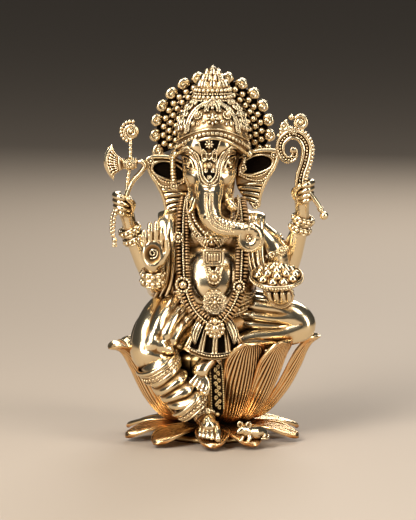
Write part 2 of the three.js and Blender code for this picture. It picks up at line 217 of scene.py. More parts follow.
def turned(profile, around=96, relief=None, steps=None, centre=(0, 0, 0)):
    """A solid of revolution about Z. profile is (radius, height) points from axis to axis."""
    p = evenly(profile, steps) if steps else np.asarray(profile, float)
    turn = full_turn(around)[None]
    r, z = p[:, :1], p[:, 1:]
    lift = relief(turn, z) * np.minimum(1, r) if relief else 0
    slope = unit(np.gradient(p, axis=0))
    rr = r + slope[:, 1:] * lift + 0 * turn
    zz = z - slope[:, :1] * lift + 0 * turn
    points = np.stack([rr * np.sin(turn), -rr * np.cos(turn), zz], -1).reshape(-1, 3) + np.asarray(centre)
    return points, quads(len(p), around)


def facing_front(surface, centre):
    """A turned surface laid down so that its axis points at the viewer."""
    points, faces = surface
    return points[:, [0, 2, 1]] + np.asarray(centre), faces


def disc(centre, radius, depth):
    """A round plate that faces the front, with its rims taken off."""
    half, rim = depth / 2, radius * 0.8
    profile = [(0, -half), (rim, -half), (radius, -half / 2), (radius, half / 2), (rim, half), (0, half)]
    return facing_front(turned(profile, 24), centre)


def _ball(subdivisions):
    bm = bmesh.new()
    bmesh.ops.create_icosphere(bm, subdivisions=subdivisions, radius=1)
    v = np.array([p.co for p in bm.verts])
    f = np.array([[q.index for q in face.verts] for face in bm.faces])
    bm.free()
    return v, f


COARSE, FINE = 2, 3
BALLS = {k: _ball(k) for k in (COARSE, FINE)}


def stamp(shape, origin, right=ACROSS, up=UPWARD, size=1.0):
    """Copies of a shape drawn with x right, y up and z out of the surface, one at each origin."""
    v, f = shape
    origin = np.atleast_2d(origin)
    n = len(origin)
    right = unit(np.broadcast_to(np.asarray(right, float), (n, 3)))
    up = unit(np.broadcast_to(np.asarray(up, float), (n, 3)))
    out = np.cross(right, up)
    size = np.broadcast_to(np.asarray(size, float).reshape(-1, 1, 1), (n, 1, 1))
    w = v[None] * size
    offsets = [w[..., i, None] * way[:, None] for i, way in enumerate((right, up, out))]
    points = origin[:, None] + offsets[0] + offsets[1] + offsets[2]
    faces = f[None] + (np.arange(n) * len(v))[:, None, None]
    return points.reshape(-1, 3), faces.reshape(-1, f.shape[1])


def beads(points, radius, fine=None):
    """A ball at each point, coarser where it is small."""
    return stamp(BALLS[fine or (COARSE if np.max(radius) < 0.9 else FINE)], points, size=radius)


def strung(path, radius, gap=1.0):
    """Beads threaded on a path, touching where gap is 1."""
    n = max(2, int(round(length_of(path) / (2 * radius * gap))) + 1)
    return beads(evenly(path, n), radius)


def rope(path, radius, pitch=1.5, around=14, side=ACROSS, depth=0.42):
    """A strand of close rings."""
    n = int(length_of(path) / pitch)
    steps = n * 7 + 1
    groove = lambda turn, t: -depth * radius * (1 - ridge(n * t, 0.8)) + 0 * turn
    return sweep(evenly(path, steps), radius, around=around, side=side, relief=groove, blunt=0.6, steps=steps)


# ---------------------------------------------------------------- clay: solids carved on a fine grid
FAR = 4.0
NOWHERE = 9.0


def blob(centre, radii, turn=None):
    """An ellipsoid. turn holds its axes as rows."""
    c, r = np.asarray(centre, float), np.asarray(radii, float) * np.ones(3)
    m = np.eye(3) if turn is None else unit(turn)

    def distance(x, y, z):
        d = (x - c[0], y - c[1], z - c[2])
        a = [(m[i, 0] * d[0] + m[i, 1] * d[1] + m[i, 2] * d[2]) / r[i] for i in range(3)]
        k0 = np.maximum(np.sqrt(a[0] ** 2 + a[1] ** 2 + a[2] ** 2), 0.02)
        k1 = np.sqrt((a[0] / r[0]) ** 2 + (a[1] / r[1]) ** 2 + (a[2] / r[2]) ** 2)
        return k0 * (k0 - 1) / np.maximum(k1, 0.02 / r.max())

    return c - r.max(), c + r.max(), distance


def bone(points, radii, n=None):
    """A smooth tapering rod through points, as a list of short ones."""
    path = through(points, n or 6 * len(points))
    r = spread(radii, np.linspace(0, 1, len(path)))
    parts = []
    for a, b, ra, rb in zip(path[:-1], path[1:], r[:-1], r[1:]):
        ab = b - a

        def distance(x, y, z, a=a, ab=ab, ra=ra, rb=rb):
            p = (x - a[0], y - a[1], z - a[2])
            h = np.clip((p[0] * ab[0] + p[1] * ab[1] + p[2] * ab[2]) / (ab @ ab), 0, 1)
            d = [p[i] - ab[i] * h for i in range(3)]
            return np.sqrt(d[0] ** 2 + d[1] ** 2 + d[2] ** 2) - (ra + (rb - ra) * h)

        reach = max(ra, rb)
        parts.append((np.minimum(a, b) - reach, np.maximum(a, b) + reach, distance))
    return parts


class Clay:
    """Distances to a surface, on a grid. A shape is (low corner, high corner, distance)."""

    def __init__(self, lo, hi, step):
        self.step = step
        self.lo = np.asarray(lo, float)
        self.shape = np.ceil((np.asarray(hi) - self.lo) / step).astype(int) + 1
        self.d = np.full(self.shape, FAR, np.float32)

    def _window(self, lo, hi):
        """The part of the grid that a shape can change, and the coordinates of its points."""
        a = np.clip(np.floor((lo - FAR - self.lo) / self.step).astype(int), 0, self.shape)
        b = np.clip(np.ceil((hi + FAR - self.lo) / self.step).astype(int) + 1, 0, self.shape)
        axes = [(self.lo[i] + self.step * np.arange(a[i], b[i])).astype(np.float32) for i in range(3)]
        window = tuple(slice(a[i], b[i]) for i in range(3))
        return window, axes[0][:, None, None], axes[1][None, :, None], axes[2][None, None, :]

    def add(self, shape, soft=1.0):
        """Joins a shape with a seam soft millimetres wide. The rods of a bone join each other without one."""
        if isinstance(shape, list):
            new = np.full_like(self.d, NOWHERE)
            for lo, hi, distance in shape:
                window, *grid = self._window(lo, hi)
                new[window] = np.minimum(new[window], distance(*grid))
            window, *_ = self._window(np.min([p[0] for p in shape], 0), np.max([p[1] for p in shape], 0))
            other = new[window]
        else:
            window, *grid = self._window(*shape[:2])
            other = shape[2](*grid)
        old = self.d[window]
        h = np.clip(0.5 + 0.5 * (old - other) / soft, 0, 1)
        self.d[window] = np.minimum(old * (1 - h) + other * h - soft * h * (1 - h), FAR)
        return self

    def cut(self, shape, soft=0.6):
        for lo, hi, distance in shape if isinstance(shape, list) else [shape]:
            window, *grid = self._window(lo, hi)
            old, other = self.d[window], -distance(*grid)
            h = np.clip(0.5 - 0.5 * (old - other) / soft, 0, 1)
            self.d[window] = np.minimum(old * (1 - h) + other * h + soft * h * (1 - h), FAR)
        return self

    def surface(self):
        grid = openvdb.FloatGrid(FAR)
        grid.copyFromArray(np.clip(self.d, -FAR, FAR))
        points, faces = grid.convertToQuads(0.0)
        return points.astype(float) * self.step + self.lo, faces.astype(int)


# ---------------------------------------------------------------- pieces
EVEN_SURFACE = 0.5
BLACKEST = 1.4


def volume_of(points, faces):
    """Six times the volume inside, negative where the faces point in."""
    total = 0.0
    for corners in ([0, 1, 2], [0, 2, 3])[: faces.shape[1] - 2]:
        a, b, c = (points[faces[:, k]] for k in corners)
        total += np.einsum("ij,ij->i", a, np.cross(b, c)).sum()
    return total


class Piece:
    """One casting, which stands for the node of its name: surfaces gathered into one mesh."""

    def __init__(self, name, finish="polished"):
        self.name = name
        self.finish = finish
        self.points, self.faces, self.grime = [], [], []
        self.count = 0

    def add(self, *surfaces, grime=0.0):
        """The number given, one for all or one for each point, darkens the surfaces added: patina, painted
        shade, and below 0 a painted highlight.
        """
        for v, f in surfaces:
            self.grime.append(np.broadcast_to(grime, len(v)))
            self.points.append(v)
            self.faces.append((f if volume_of(v, f) > 0 else f[:, ::-1]) + self.count)
            self.count += len(v)
        return self

    def make(self):
        mesh = bpy.data.meshes.new(self.name)
        v = np.vstack(self.points)
        mesh.vertices.add(len(v))
        mesh.vertices.foreach_set("co", (v * MM).ravel())
        corners = np.concatenate([f.ravel() for f in self.faces])
        sizes = np.concatenate([np.full(len(f), f.shape[1]) for f in self.faces])
        mesh.loops.add(len(corners))
        mesh.loops.foreach_set("vertex_index", corners)
        mesh.polygons.add(len(sizes))
        mesh.polygons.foreach_set("loop_start", np.r_[0, np.cumsum(sizes)[:-1]])
        mesh.update(calc_edges=True)
        mesh.shade_smooth()
        # The "hollow" attribute holds the surface's own hollows plus the darkening given to add: patina, painted
        # shade and painted highlight.
        dark = np.clip(hollowness(mesh, v) + np.concatenate(self.grime), 0, BLACKEST)
        mesh.attributes.new("hollow", "FLOAT", "POINT").data.foreach_set("value", dark)
        mesh.materials.append(FINISHES[self.finish])
        piece = bpy.data.objects.new(f"{self.name}_casting", mesh)
        bpy.context.scene.collection.objects.link(piece)
        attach(piece, "root")
        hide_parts(self.name)


def hollowness(mesh, v):
    """0.5 where the surface is even, towards 1 in its grooves and towards 0 on its crests.

    The points are moved towards their neighbours step by step. How far each has gone after a few steps and
    after many tells how deep it lies in the fine detail and in the broad shape.
    """
    weights = {4: 9.0, 12: 4.0}
    ends = np.empty(len(mesh.edges) * 2, np.int64)
    mesh.edges.foreach_get("vertices", ends)
    a, b = ends[::2], ends[1::2]
    normal = np.empty(len(v) * 3)
    mesh.vertices.foreach_get("normal", normal)
    normal = normal.reshape(-1, 3)
    neighbours = np.maximum(np.bincount(ends, minlength=len(v)), 1)[:, None]
    even = v.copy()
    depth = np.zeros(len(v))
    for step in range(1, max(weights) + 1):
        axes = range(3)
        near = [np.bincount(a, even[b, i], len(v)) + np.bincount(b, even[a, i], len(v)) for i in axes]
        even = 0.5 * even + 0.5 * np.stack(near, 1) / neighbours
        if step in weights:
            depth += np.sum((even - v) * normal, 1) * weights[step]
    return np.clip(EVEN_SURFACE + depth, 0, 1)


# ---------------------------------------------------------------- materials
CREST_END, MIDDLE_AT, RECESS_START, DULL_AT = 0.3, 0.52, 0.8, 0.9
DULL = 0.62
PATCH_SCALE, GRAIN_SCALE = 90, 900
PALE, WARM, BLACK = (0.88, 0.72, 0.46), (0.42, 0.22, 0.075), (0.008, 0.005, 0.003)


def brass(name, polish, hollow_darkening, grime=0.85, crest=PALE, middle=WARM, recess=BLACK):
    """Cast brass: polished on the crests, warm in between, blackened in the recesses by patina and by painted
    shade.

    The third number is how much the hollow attribute darkens it (its own hollows as patina, with the painted
    shade put on the attribute), and the fourth how much surfaces close by do, as patina and as painted shade.
    """
    m = bpy.data.materials.new(name)
    m.use_nodes = True
    tree = m.node_tree
    new, link = tree.nodes.new, tree.links.new
    shader = tree.nodes["Principled BSDF"]
    hollow = new("ShaderNodeAttribute")
    hollow.attribute_name = "hollow"
    # Ambient occlusion: surfaces close by darken the colour, as patina and as painted shade.
    near = new("ShaderNodeAmbientOcclusion")
    near.samples = 6
    near.inputs["Distance"].default_value = 5 * MM
    where = new("ShaderNodeTexCoord")

    def noise(scale, detail):
        n = new("ShaderNodeTexNoise")
        n.inputs["Scale"].default_value = scale
        n.inputs["Detail"].default_value = detail
        link(where.outputs["Object"], n.inputs["Vector"])
        return n.outputs["Fac"]

    def maths(kind, a, b):
        n = new("ShaderNodeMath")
        n.operation = kind
        n.use_clamp = kind == "ADD"
        for k, value in enumerate((a, b)):
            if isinstance(value, (int, float)):
                n.inputs[k].default_value = value
            else:
                link(value, n.inputs[k])
        return n.outputs[0]

    def varied(value, fac, amount):
        """A value raised and lowered by a noise."""
        return maths("ADD", value, maths("MULTIPLY", maths("SUBTRACT", fac, 0.5), amount))

    grain = noise(GRAIN_SCALE, 4)
    # Painted shade and patina: darkened by the ambient occlusion and by the hollow attribute with its painted
    # masks.
    closed = maths("SUBTRACT", 1.0, near.outputs["AO"])
    patina_and_shade_level = maths("ADD", maths("MULTIPLY", closed, grime), maths("MULTIPLY", hollow.outputs["Fac"], hollow_darkening))
    patina_and_shade_level = varied(patina_and_shade_level, noise(PATCH_SCALE, 3), 0.16)
    tint = new("ShaderNodeValToRGB")
    ramp = tint.color_ramp
    ramp.elements[0].position, ramp.elements[0].color = CREST_END, (*crest, 1)
    ramp.elements[1].position, ramp.elements[1].color = RECESS_START, (*recess, 1)
    ramp.elements.new(MIDDLE_AT).color = (*middle, 1)
    link(patina_and_shade_level, tint.inputs["Fac"])
    link(tint.outputs["Color"], shader.inputs["Base Color"])
    rough = new("ShaderNodeMapRange")
    ends = {"From Min": CREST_END, "From Max": DULL_AT, "To Min": polish, "To Max": DULL}
    for socket, value in ends.items():
        rough.inputs[socket].default_value = value
    link(varied(patina_and_shade_level, grain, 0.2), rough.inputs["Value"])
    link(rough.outputs["Result"], shader.inputs["Roughness"])
    bump = new("ShaderNodeBump")
    bump.inputs["Strength"].default_value = 0.12
    bump.inputs["Distance"].default_value = 0.1 * MM
    link(grain, bump.inputs["Height"])
    link(bump.outputs["Normal"], shader.inputs["Normal"])
    shader.inputs["Metallic"].default_value = 1.0
    return m


# The petals' orange middle tone: the brass's own warm tone, pushed further orange as a painted reflection of a
# warm brown surface below them.
ORANGE_TONE_AND_REFLECTION = {"crest": (0.9, 0.66, 0.36), "middle": (0.86, 0.36, 0.085), "recess": (0.05, 0.018, 0.005)}
AGED = {"crest": (0.62, 0.44, 0.2), "middle": (0.16, 0.08, 0.03)}
FINISHES = {
    "polished": brass("polished_brass", 0.2, 0.66),
    "skin": brass("burnished_brass", 0.17, 0.55, 0.7),
    "jewel": brass("jewel_brass", 0.22, 0.84),
    "cloth": brass("draped_brass", 0.19, 0.6, 0.75),
    "petal": brass("petal_brass", 0.22, 0.78, **ORANGE_TONE_AND_REFLECTION),
    "dark": brass("patina_brass", 0.3, 0.9, **AGED),
}


# ---------------------------------------------------------------- what lies on a surface
class Skin:
    """The front of a surface, for what lies on it."""

    def __init__(self, surface):
        v, f = surface
        self.tree = BVHTree.FromPolygons([Vector(p) for p in v], f.tolist())

    def lay(self, path, lift=0.0):
        """Points given as (x, z) dropped onto the surface from the front, and the way out of it there."""
        points, normals = [], []
        for x, z in np.atleast_2d(path):
            hit = self.tree.ray_cast(Vector((x, -90, z)), Vector(DEEP))
            if hit[0] is None:
                hit = self.tree.find_nearest(Vector((x, -30, z)))
            points.append(hit[0])
            normals.append(hit[1] if hit[1].y < 0 else -hit[1])
        points, normals = np.array(points), np.array(normals)
        if len(points) > 4:
            for _ in range(2):
                normals[1:-1] = unit(normals[:-2] + 2 * normals[1:-1] + normals[2:])
        return points + normals * lift, normals


def arc(x0, z0, x1, z1, bulge, n=24):
    """(x, z) points from one end to the other, bulging upwards."""
    t = np.linspace(0, 1, n)
    return np.stack([x0 + (x1 - x0) * t, z0 + (z1 - z0) * t + bulge * (1 - (2 * t - 1) ** 2)], 1)


def spiral(centre, outer, inner, turns, start, n, hand=1):
    """(x, z) points of a scroll that winds in to its centre, from an angle in degrees."""
    t = np.linspace(0, 1, n)
    a = math.radians(start) + hand * 2 * np.pi * turns * t
    r = outer + (inner - outer) * t**0.8
    return np.stack([centre[0] + r * np.cos(a), centre[1] + r * np.sin(a)], 1)


def raised(path, y, bulge=0.0):
    """(x, z) points stood up as (x, y, z)."""
    path = np.asarray(path, float)
    return np.stack([path[:, 0], np.full(len(path), float(y)) + bulge, path[:, 1]], 1)


def scroll(centre, outer, inner, turns, start, n, hand, radii, around=8, bulge=0.0):
    """A wire wound into a spiral that faces the front."""
    flat = spiral(centre[::2], outer, inner, turns, start, n, hand)
    return wire(raised(flat, centre[1], bulge), radii, around)


def front_ring(centre, radius, n, start=0.0, span=2 * math.pi):
    """n points of a circle that faces the front, or of a part of one."""
    a = start + span * np.arange(n) / n
    return np.asarray(centre, float) + radius * np.stack([np.cos(a), 0 * a, np.sin(a)], 1)


def hoop(centre, along, radius, flat=1.0, n=72, side=ACROSS):
    """A ring of points round an axis."""
    along = unit(along)
    x = unit(np.asarray(side, float) - along * np.dot(along, side))
    y = np.cross(along, x)
    a = full_turn(n)[:, None]
    return centre + radius * (x * np.cos(a) + flat * y * np.sin(a))


def slab_grid(rows, cols):
    """The shares across and down of the points of a slab's skin, and the turn round its edge."""
    s = np.linspace(0, 1, rows)
    v = (s - 0.12 * np.sin(2 * np.pi * s))[:, None]
    turn = full_turn(cols)[None]
    return (1 - np.cos(turn)) / 2, v, turn


def slab(left, right, relief, thick, rows, cols, warp=None):
    """A flat casting that faces the front, between two edge curves of (x, y, z) points.

    relief(u, v) raises its face and warp(u, v) bends it, by the shares across and down.
    """
    u, v, turn = slab_grid(rows, cols)
    a, b = (at_share(through(edge, 240), v[:, 0]) for edge in (left, right))
    ends = closing(v, 14)
    lift = fuller(np.sin(turn)) * thick / 2 * ends
    if relief:
        inside = np.minimum(1, 12 * np.minimum(u, 1 - u))
        lift = lift + np.where(np.sin(turn) > 0, relief(u, v), 0) * ends * inside
    points = a[:, None] + (b - a)[:, None] * u[..., None] + np.array(FORWARD) * lift[..., None]
    if warp:
        points = points + warp(u + 0 * v, v + 0 * u)
    return points.reshape(-1, 3), quads(rows, cols)


def patch(skin, left, right, thick, rows, cols):
    """A thin casting laid on a surface from the front, between two edge curves of (x, z) points."""
    edges = (raised(through(edge, 60), 0) for edge in (left, right))
    flat, faces = slab(*edges, None, 0, rows, cols)
    on, out = skin.lay(flat[:, [0, 2]])
    turn = full_turn(cols)[None]
    up = np.where(np.sin(turn) > 0, np.abs(np.sin(turn)) ** 0.4, -1.0) * thick
    up = up * np.where(up > 0, closing(np.linspace(0, 1, rows)[:, None], 16), 1)
    return on + out * up.reshape(-1, 1), faces


def rosette(radius=1.0, petals=8, kind="bead"):
    """A flower drawn flat with z out of the surface: a dome in a ring of beads, or of petals."""
    (ball, ball_faces), (small, small_faces) = BALLS[FINE], BALLS[COARSE]
    if kind == "petal":
        radii = at(0.36, 0.2, 0.2) * radius
    else:
        radii = at(1, 1, 1) * min(0.27, np.pi * 0.74 / petals) * radius
    points, faces = [ball * at(0.42, 0.42, 0.4) * radius], [ball_faces]
    for k in range(petals):
        a = 2 * np.pi * k / petals
        c, s = math.cos(a), math.sin(a)
        turn = np.array([[c, s, 0], [-s, c, 0], [0, 0, 1]]) if kind == "petal" else np.eye(3)
        points.append(small * radii @ turn + at(c, s, 0) * 0.74 * radius)
        faces.append(small_faces + len(ball) + k * len(small))
    return np.vstack(points), np.vstack(faces)


FLOWER = rosette(1, 10)
LEAFY = rosette(1, 8, "petal")


def rosette_at(centre, out=FORWARD, size=2.0, shape=FLOWER):
    right = unit(np.cross(UPWARD, unit(out)))
    return stamp(shape, np.asarray(centre, float), right, np.cross(unit(out), right), size)


def bangles(p, centre, along, radius, flat=1.0, rows=1, gap=0.0, bead=1.0):
    """Bracelets round a limb: each a row of beads between two twisted rims."""
    along = unit(along)
    twist = lambda turn, t: 0.07 * np.cos(2 * turn + 60 * 2 * np.pi * t)
    for k in range(rows):
        c = np.asarray(centre) + along * gap * (k - (rows - 1) / 2)
        ring = hoop(c, along, radius, flat, 96)
        n = int(length_of(ring) / (2.03 * bead))
        p.add(beads(evenly(np.vstack([ring, ring[:1]]), n + 1)[:-1], bead, FINE))
        for d in SIDES:
            rim = hoop(c + along * d * bead * 1.2, along, radius + 0.05 * bead, flat, 120)
            p.add(loop_of(rim, 0.34 * bead + 0.1, along, relief=twist))
        p.add(loop_of(hoop(c, along, radius - bead * 0.6, flat), bead * 1.3, along, 10, flat=0.4))


# ---------------------------------------------------------------- body
def torso():
    clay = Clay((-29, -33, 40), (29, 22, 121), 0.55)
    clay.add(blob((0, -2, 57), (24.5, 19.5, 15.5)))
    clay.add(blob((0, -8.5, 75.5), (20.3, 20, 20)), 4)
    clay.add(blob((0, -3, 96), (20, 15.5, 15)), 4)
    for s in SIDES:
        clay.add(blob((s * 8.5, -11.5, 99), (8.5, 7, 7)), 3)
        clay.add(blob((s * 15.5, 2, 101), (8, 8, 8)), 3.5)
    clay.add(bone([(0, 0, 100), (0, -3, 118)], [11, 9.8], 4), 3)
    clay.cut(blob((0.6, -28.8, 78), (1.5, 2, 1.8)), 1.2)
    surface = clay.surface()
    # Painted shade: the torso is darkened at its sides, high on the chest and low on the belly.
    x, z = np.abs(surface[0][:, 0] - 0.5), surface[0][:, 2]
    shade = 0.5 * smooth(x, 9.5, 14) + 0.3 * smooth(z, 86, 94) + 0.4 * (1 - smooth(z, 60, 66))
    Piece("torso", finish="skin").add(surface, grime=np.minimum(shade, 0.5)).make()
    return Skin(surface)


FACE_X = -1.5
EYE_OUT, EYE_Z = 9.8, 133
UPPER_LID = [(-2.3, 2.6), (-0.4, 2.1), (1.3, 0.5), (2.2, -1.2), (2.5, -2.7)]
LOWER_LID = [(-2.3, 2.4), (-2.2, 0.6), (-1.1, -1.1), (0.6, -2.3), (2.5, -2.9)]
EYE_FOLDS = (
    ([(-3.0, 3.6), (-0.6, 3.9), (1.8, 2.2), (3.2, 0), (3.8, -2.4)], 0.42),
    ([(-3.0, 4.9), (-0.4, 5.4), (2.4, 3.7), (4.1, 1.2), (4.8, -1.4)], 0.42),
    ([(-2.4, 6.3), (0.2, 6.6), (3.0, 5.0), (4.9, 2.6), (5.6, 0.2)], 0.4),
    ([(-2.6, -0.4), (-1.8, -2.2), (0, -3.5), (2, -4)], 0.26),
)


def head_clay():
    clay = Clay((-20, -36, 103), (19, 13, 155), 0.4)
    clay.add(blob((FACE_X / 2, -3.5, 139), (13.9, 12.5, 14.5)))
    clay.add(bone([(FACE_X, -8, 133.5), (FACE_X, -13.5, 124), (FACE_X, -18.5, 116)], [12.4, 9.8, 6]), 4)
    clay.add(blob((FACE_X, -9.5, 142), (12.6, 11.6, 8)), 3)
    clay.add(bone([(0, -2, 114), (FACE_X / 2, -3.5, 132)], [10.2, 12], 5), 2)
    front = [
        (FACE_X, -20, 124), (-1.6, -24, 118.6), (-1.8, -27.6, 114.6), (-1.3, -29.8, 111.6),
        (-0.8, -30.6, 109.6),
    ]
    clay.add(bone(front, [6.3, 6.6, 6.1, 5.3, 4.2]), 3)
    clay.add(bone([(FACE_X, -13, 112), (FACE_X, -18, 108)], [6, 3.2], 5), 2)
    for s in SIDES:
        clay.add(blob((FACE_X + s * 5.4, -14.5, 141), (6.2, 6.4, 6.5)), 3)
        clay.add(blob((FACE_X + s * 6.6, -13, 127.5), (5.9, 8, 6.4)), 3)
        clay.add(bone([(FACE_X + s * 5.8, -15, 121), (FACE_X + s * 7.6, -21, 115.8)], [4, 2.3], 6), 2)
    for s in SIDES:
        (centre,), (out,) = Skin(clay.surface()).lay([(FACE_X + s * EYE_OUT, EYE_Z)])
        slant = at(-s * 0.68, 0, -0.74)
        across = unit(slant - out * np.dot(slant, out))
        axes = [across, out, np.cross(out, across)]
        clay.cut(blob(centre + out * 1.6, (3.9, 2.2, 2.4), axes), 1.2)
        clay.add(blob(centre - out * 1.1, (2.9, 2.3, 1.9), axes), 0.2)
    return clay


def eye(p, skin, s):
    """The lids, folds and pupil of one eye, added to a piece. The lines drawn are given back."""
    drawn = []
    draw = lambda line: np.array([(FACE_X + s * (EYE_OUT - a), EYE_Z + b) for a, b in line])
    for line, lift, r in ((UPPER_LID, 0.3, 0.5), (LOWER_LID, 0.1, 0.38)):
        drawn.append(skin.lay(through(draw(line), 40), lift)[0])
        p.add(sweep(drawn[-1], [0.22, r, r, 0.24], around=12))
    for line, r in EYE_FOLDS:
        drawn.append(skin.lay(through(draw(line), 40), -0.02)[0])
        p.add(sweep(drawn[-1], [0.2, r, r * 1.1, r, 0.2], around=12))
    (pupil,), (out,) = skin.lay(draw([(0.1, 0)]))
    p.add(beads([pupil - out * 0.35], 0.95), beads([pupil + out * 0.38], 0.34))
    return drawn


def head():
    surface = head_clay().surface()
    points = surface[0]
    skin = Skin(surface)
    p = Piece("head", finish="skin")
    drawn = np.vstack([line for s in SIDES for line in eye(p, skin, s)])
    # Darkened just beside the lids and folds: patina in the creases, and painted shade.
    near_eyes = np.flatnonzero((np.abs(points[:, 2] - EYE_Z - 1) < 8) & (points[:, 1] < -2))
    dark = np.zeros(len(points))
    for k in near_eyes:
        dark[k] = 0.85 * bell(np.linalg.norm(drawn - points[k], axis=1).min(), 0.75, 0.4)
    p.add(surface, grime=dark)
    p.make()
    return skin


COIL = at(16.9, -34.4, 99.3)


def trunk():
    fall = [
        (-1.5, -20, 122), (-1.8, -26.4, 116.2), (-1.4, -30.2, 111.6), (0.4, -32.4, 107.4),
        (4.4, -33.6, 104.6), (10, -34, 103.7),
    ]
    turn = np.linspace(0, 1, 26)
    a = math.radians(112) - 2 * np.pi * 1.25 * turn
    far = 4.5 - 3.1 * turn**1.5
    wind = COIL + far[:, None] * np.stack([np.cos(a), 0 * a, np.sin(a)], 1)
    course = through([*fall, *wind], 400)
    share = length_of(through(fall, 100)) / length_of(course)
    widths = [5.4, 6.0, 6.1, 5.7, 5.35, 5.0, 4.7, 4.25, 3.75, 3.4, 3.3, 3.3, 3.2, 2.8, 2.2, 1.5]

    def wrinkles(turn, t):
        outer = smooth(t, 0.2, 0.3) * (1 - smooth(t, share + 0.05, share + 0.3))
        return 0.16 * (ridge(30 * t, 1.2) - 1) * outer

    rows, around = 420, 64
    body = sweep(course, widths, 1.0, ACROSS, around, wrinkles, steps=rows)
    skin = Skin(body)
    down, turn = np.linspace(0, 1, rows)[:, None], full_turn(around)[None]
    band = bell(np.cos(turn), 0, 0.36, 4) * (np.sin(turn) < 0)
    band = band * smooth(down, 0.12, 0.2) * (1 - smooth(down, share - 0.04, share + 0.02))
    p = Piece("trunk", finish="skin").add(body, grime=0.6 * band.ravel())
    trunk_braid(p, skin, course[: int(400 * share)], widths, share)
    a = math.radians(118) - 2 * np.pi * np.linspace(0, 0.62, 60)
    rim = COIL[::2] + 5.6 * np.stack([np.cos(a), np.sin(a)], 1)
    p.add(strung(skin.lay(rim, 0.2)[0], 0.42, 1.1))
    tip = COIL + (0.4, -2.4, 0)
    profile = [(0, -3), (4.2, -2.6), (5.2, -1), (5.5, 0.1), (5, 0.7), (3.6, 0.5), (2, -0.1), (0, -0.3)]
    dish, faces = turned(profile, 72, None, 40)
    p.add(facing_front((dish * at(1, 1, -1), faces), tip), beads([tip + at(0, 0.2, 0)], 0.85, FINE))
    p.add(loop_of(front_ring(tip + at(0, 0.1, 0), 1.5, 30), 0.4, DEEP), grime=0.5)
    p.make()


def trunk_braid(p, skin, middle, widths, share):
    """Two strings of beads down the front of the trunk, with chevrons between them."""
    across, _ = rails(middle, ACROSS)
    width = spread(widths, np.linspace(0, share, len(middle)))
    first = 24
    for s in SIDES:
        line = middle + across * (s * 0.3 * width)[:, None]
        p.add(strung(skin.lay(line[first:][:, [0, 2]], 0.22)[0], 0.46), grime=0.2)
    for k in range(first + 4, len(middle) - 6, 6):
        along = unit(middle[k + 1] - middle[k - 1])
        shares = np.array([-0.2, -0.1, 0, 0.1, 0.2])[:, None]
        chevron = middle[k] + width[k] * (across[k] * shares - along * 0.22 * (1 - np.abs(shares) / 0.2))
        p.add(sweep(through(skin.lay(chevron[:, [0, 2]], 0.12)[0], 9), 0.3, around=6))


def tusks():
    right = through([(-6.6, -18, 118.8), (-8.8, -24.6, 114), (-10.8, -29, 110.8)], 30)
    left = through([(5.4, -18, 119.2), (8, -24.4, 114.8), (10.4, -27.8, 112.2)], 30)
    grain = lambda turn, t: 0.05 * np.cos(9 * turn)
    p = Piece("right_tusk", finish="skin")
    p.add(sweep(right, [2.1, 2, 1.8, 1.4, 0.8], relief=grain, steps=40)).make()
    p = Piece("left_tusk", finish="skin")
    p.add(sweep(left, [2.1, 2.05, 1.9], relief=grain, blunt=0.5, steps=40))
    across, up = rails(left, ACROSS)
    a = full_turn(24)[:, None]
    for k, r in ((17, 2.1), (24, 2.05)):
        ring = left[k] + r * (across[k] * np.cos(a) + up[k] * np.sin(a))
        p.add(loop_of(ring, 0.42, np.cross(across[k], up[k])))
    p.make()


# Shoulder, elbow, wrist and hand, named from the figure's own side.
REAR_RIGHT = [at(-16, 5, 101), at(-30, 3, 80), at(-38.5, -2, 98), at(-41.5, -4, 112)]
REAR_LEFT = [at(16, 5, 101), at(36, 3, 82), at(42.5, -2, 103), at(42.5, -4, 118)]
FRONT_RIGHT = [at(-19, -3, 99), at(-25, -6, 73), at(-28, -22, 80), at(-27, -26, 92)]
FRONT_LEFT = [at(20, -3, 99), at(31, -5, 76), at(32, -20, 71), at(31, -28, 73)]


def rear_arm(side, s, joints):
    shoulder, elbow, wrist, _ = joints
    down, up = unit(elbow - shoulder), unit(wrist - elbow)
    part_way = lambda share: shoulder + (elbow - shoulder) * share
    upper = through([shoulder, part_way(0.5) + at(s * 1.2, -0.6, 1.2), elbow + down * 4], 40)
    p = Piece(f"rear_{side}_upper_arm", finish="skin")
    p.add(sweep(upper, [6.4, 6.7, 6.5, 5.7, 5], around=48, steps=60))
    bangles(p, part_way(0.55) + at(s * 0.8, 0, 0.8), down, 6.7, bead=0.95)
    p.add(rosette_at(part_way(0.5) + at(s * 1.2, -8, 2), at(s * 0.35, -1, 0.1), 2.6))
    p.make()
    fore = through([elbow - up * 5, elbow + (wrist - elbow) * 0.45 + at(0, 0.6, 0), wrist + up * 2], 40)
    p = Piece(f"rear_{side}_forearm", finish="skin")
    p.add(sweep(fore, [4.9, 5.4, 5.2, 4.6, 4, 3.7], around=48, steps=60))
    bangles(p, wrist - up * 0.6, up, 4.9, 0.92, 2, 4.8, 1.1)
    p.make()


def front_arm(side, s, joints, bulge, bracelet):
    shoulder, elbow, wrist, _ = joints
    clay = Clay(np.min(joints, 0) - 10, np.max(joints, 0) + 10, 0.5)
    upper = through([shoulder, (shoulder + elbow) / 2 + bulge, elbow], 40)
    clay.add(bone(upper, [7, 7.3, 5.8], 18))
    clay.add(bone([elbow + at(0, 2, -0.6), (elbow + wrist) / 2, wrist + at(0, -1, 0)], [5.8, 5.9, 4.8]), 2)
    p = Piece(f"front_{side}_arm", finish="skin").add(clay.surface())
    bangles(p, *bracelet)
    along = unit(upper[22] - upper[18])
    bangles(p, upper[20], along, 7.5, bead=0.9)
    outwards = at(s * 0.75, -1, 0)
    outwards = unit(outwards - along * np.dot(along, outwards))
    p.add(rosette_at(upper[20] + outwards * 7.9, outwards, 2.4))
    p.make()


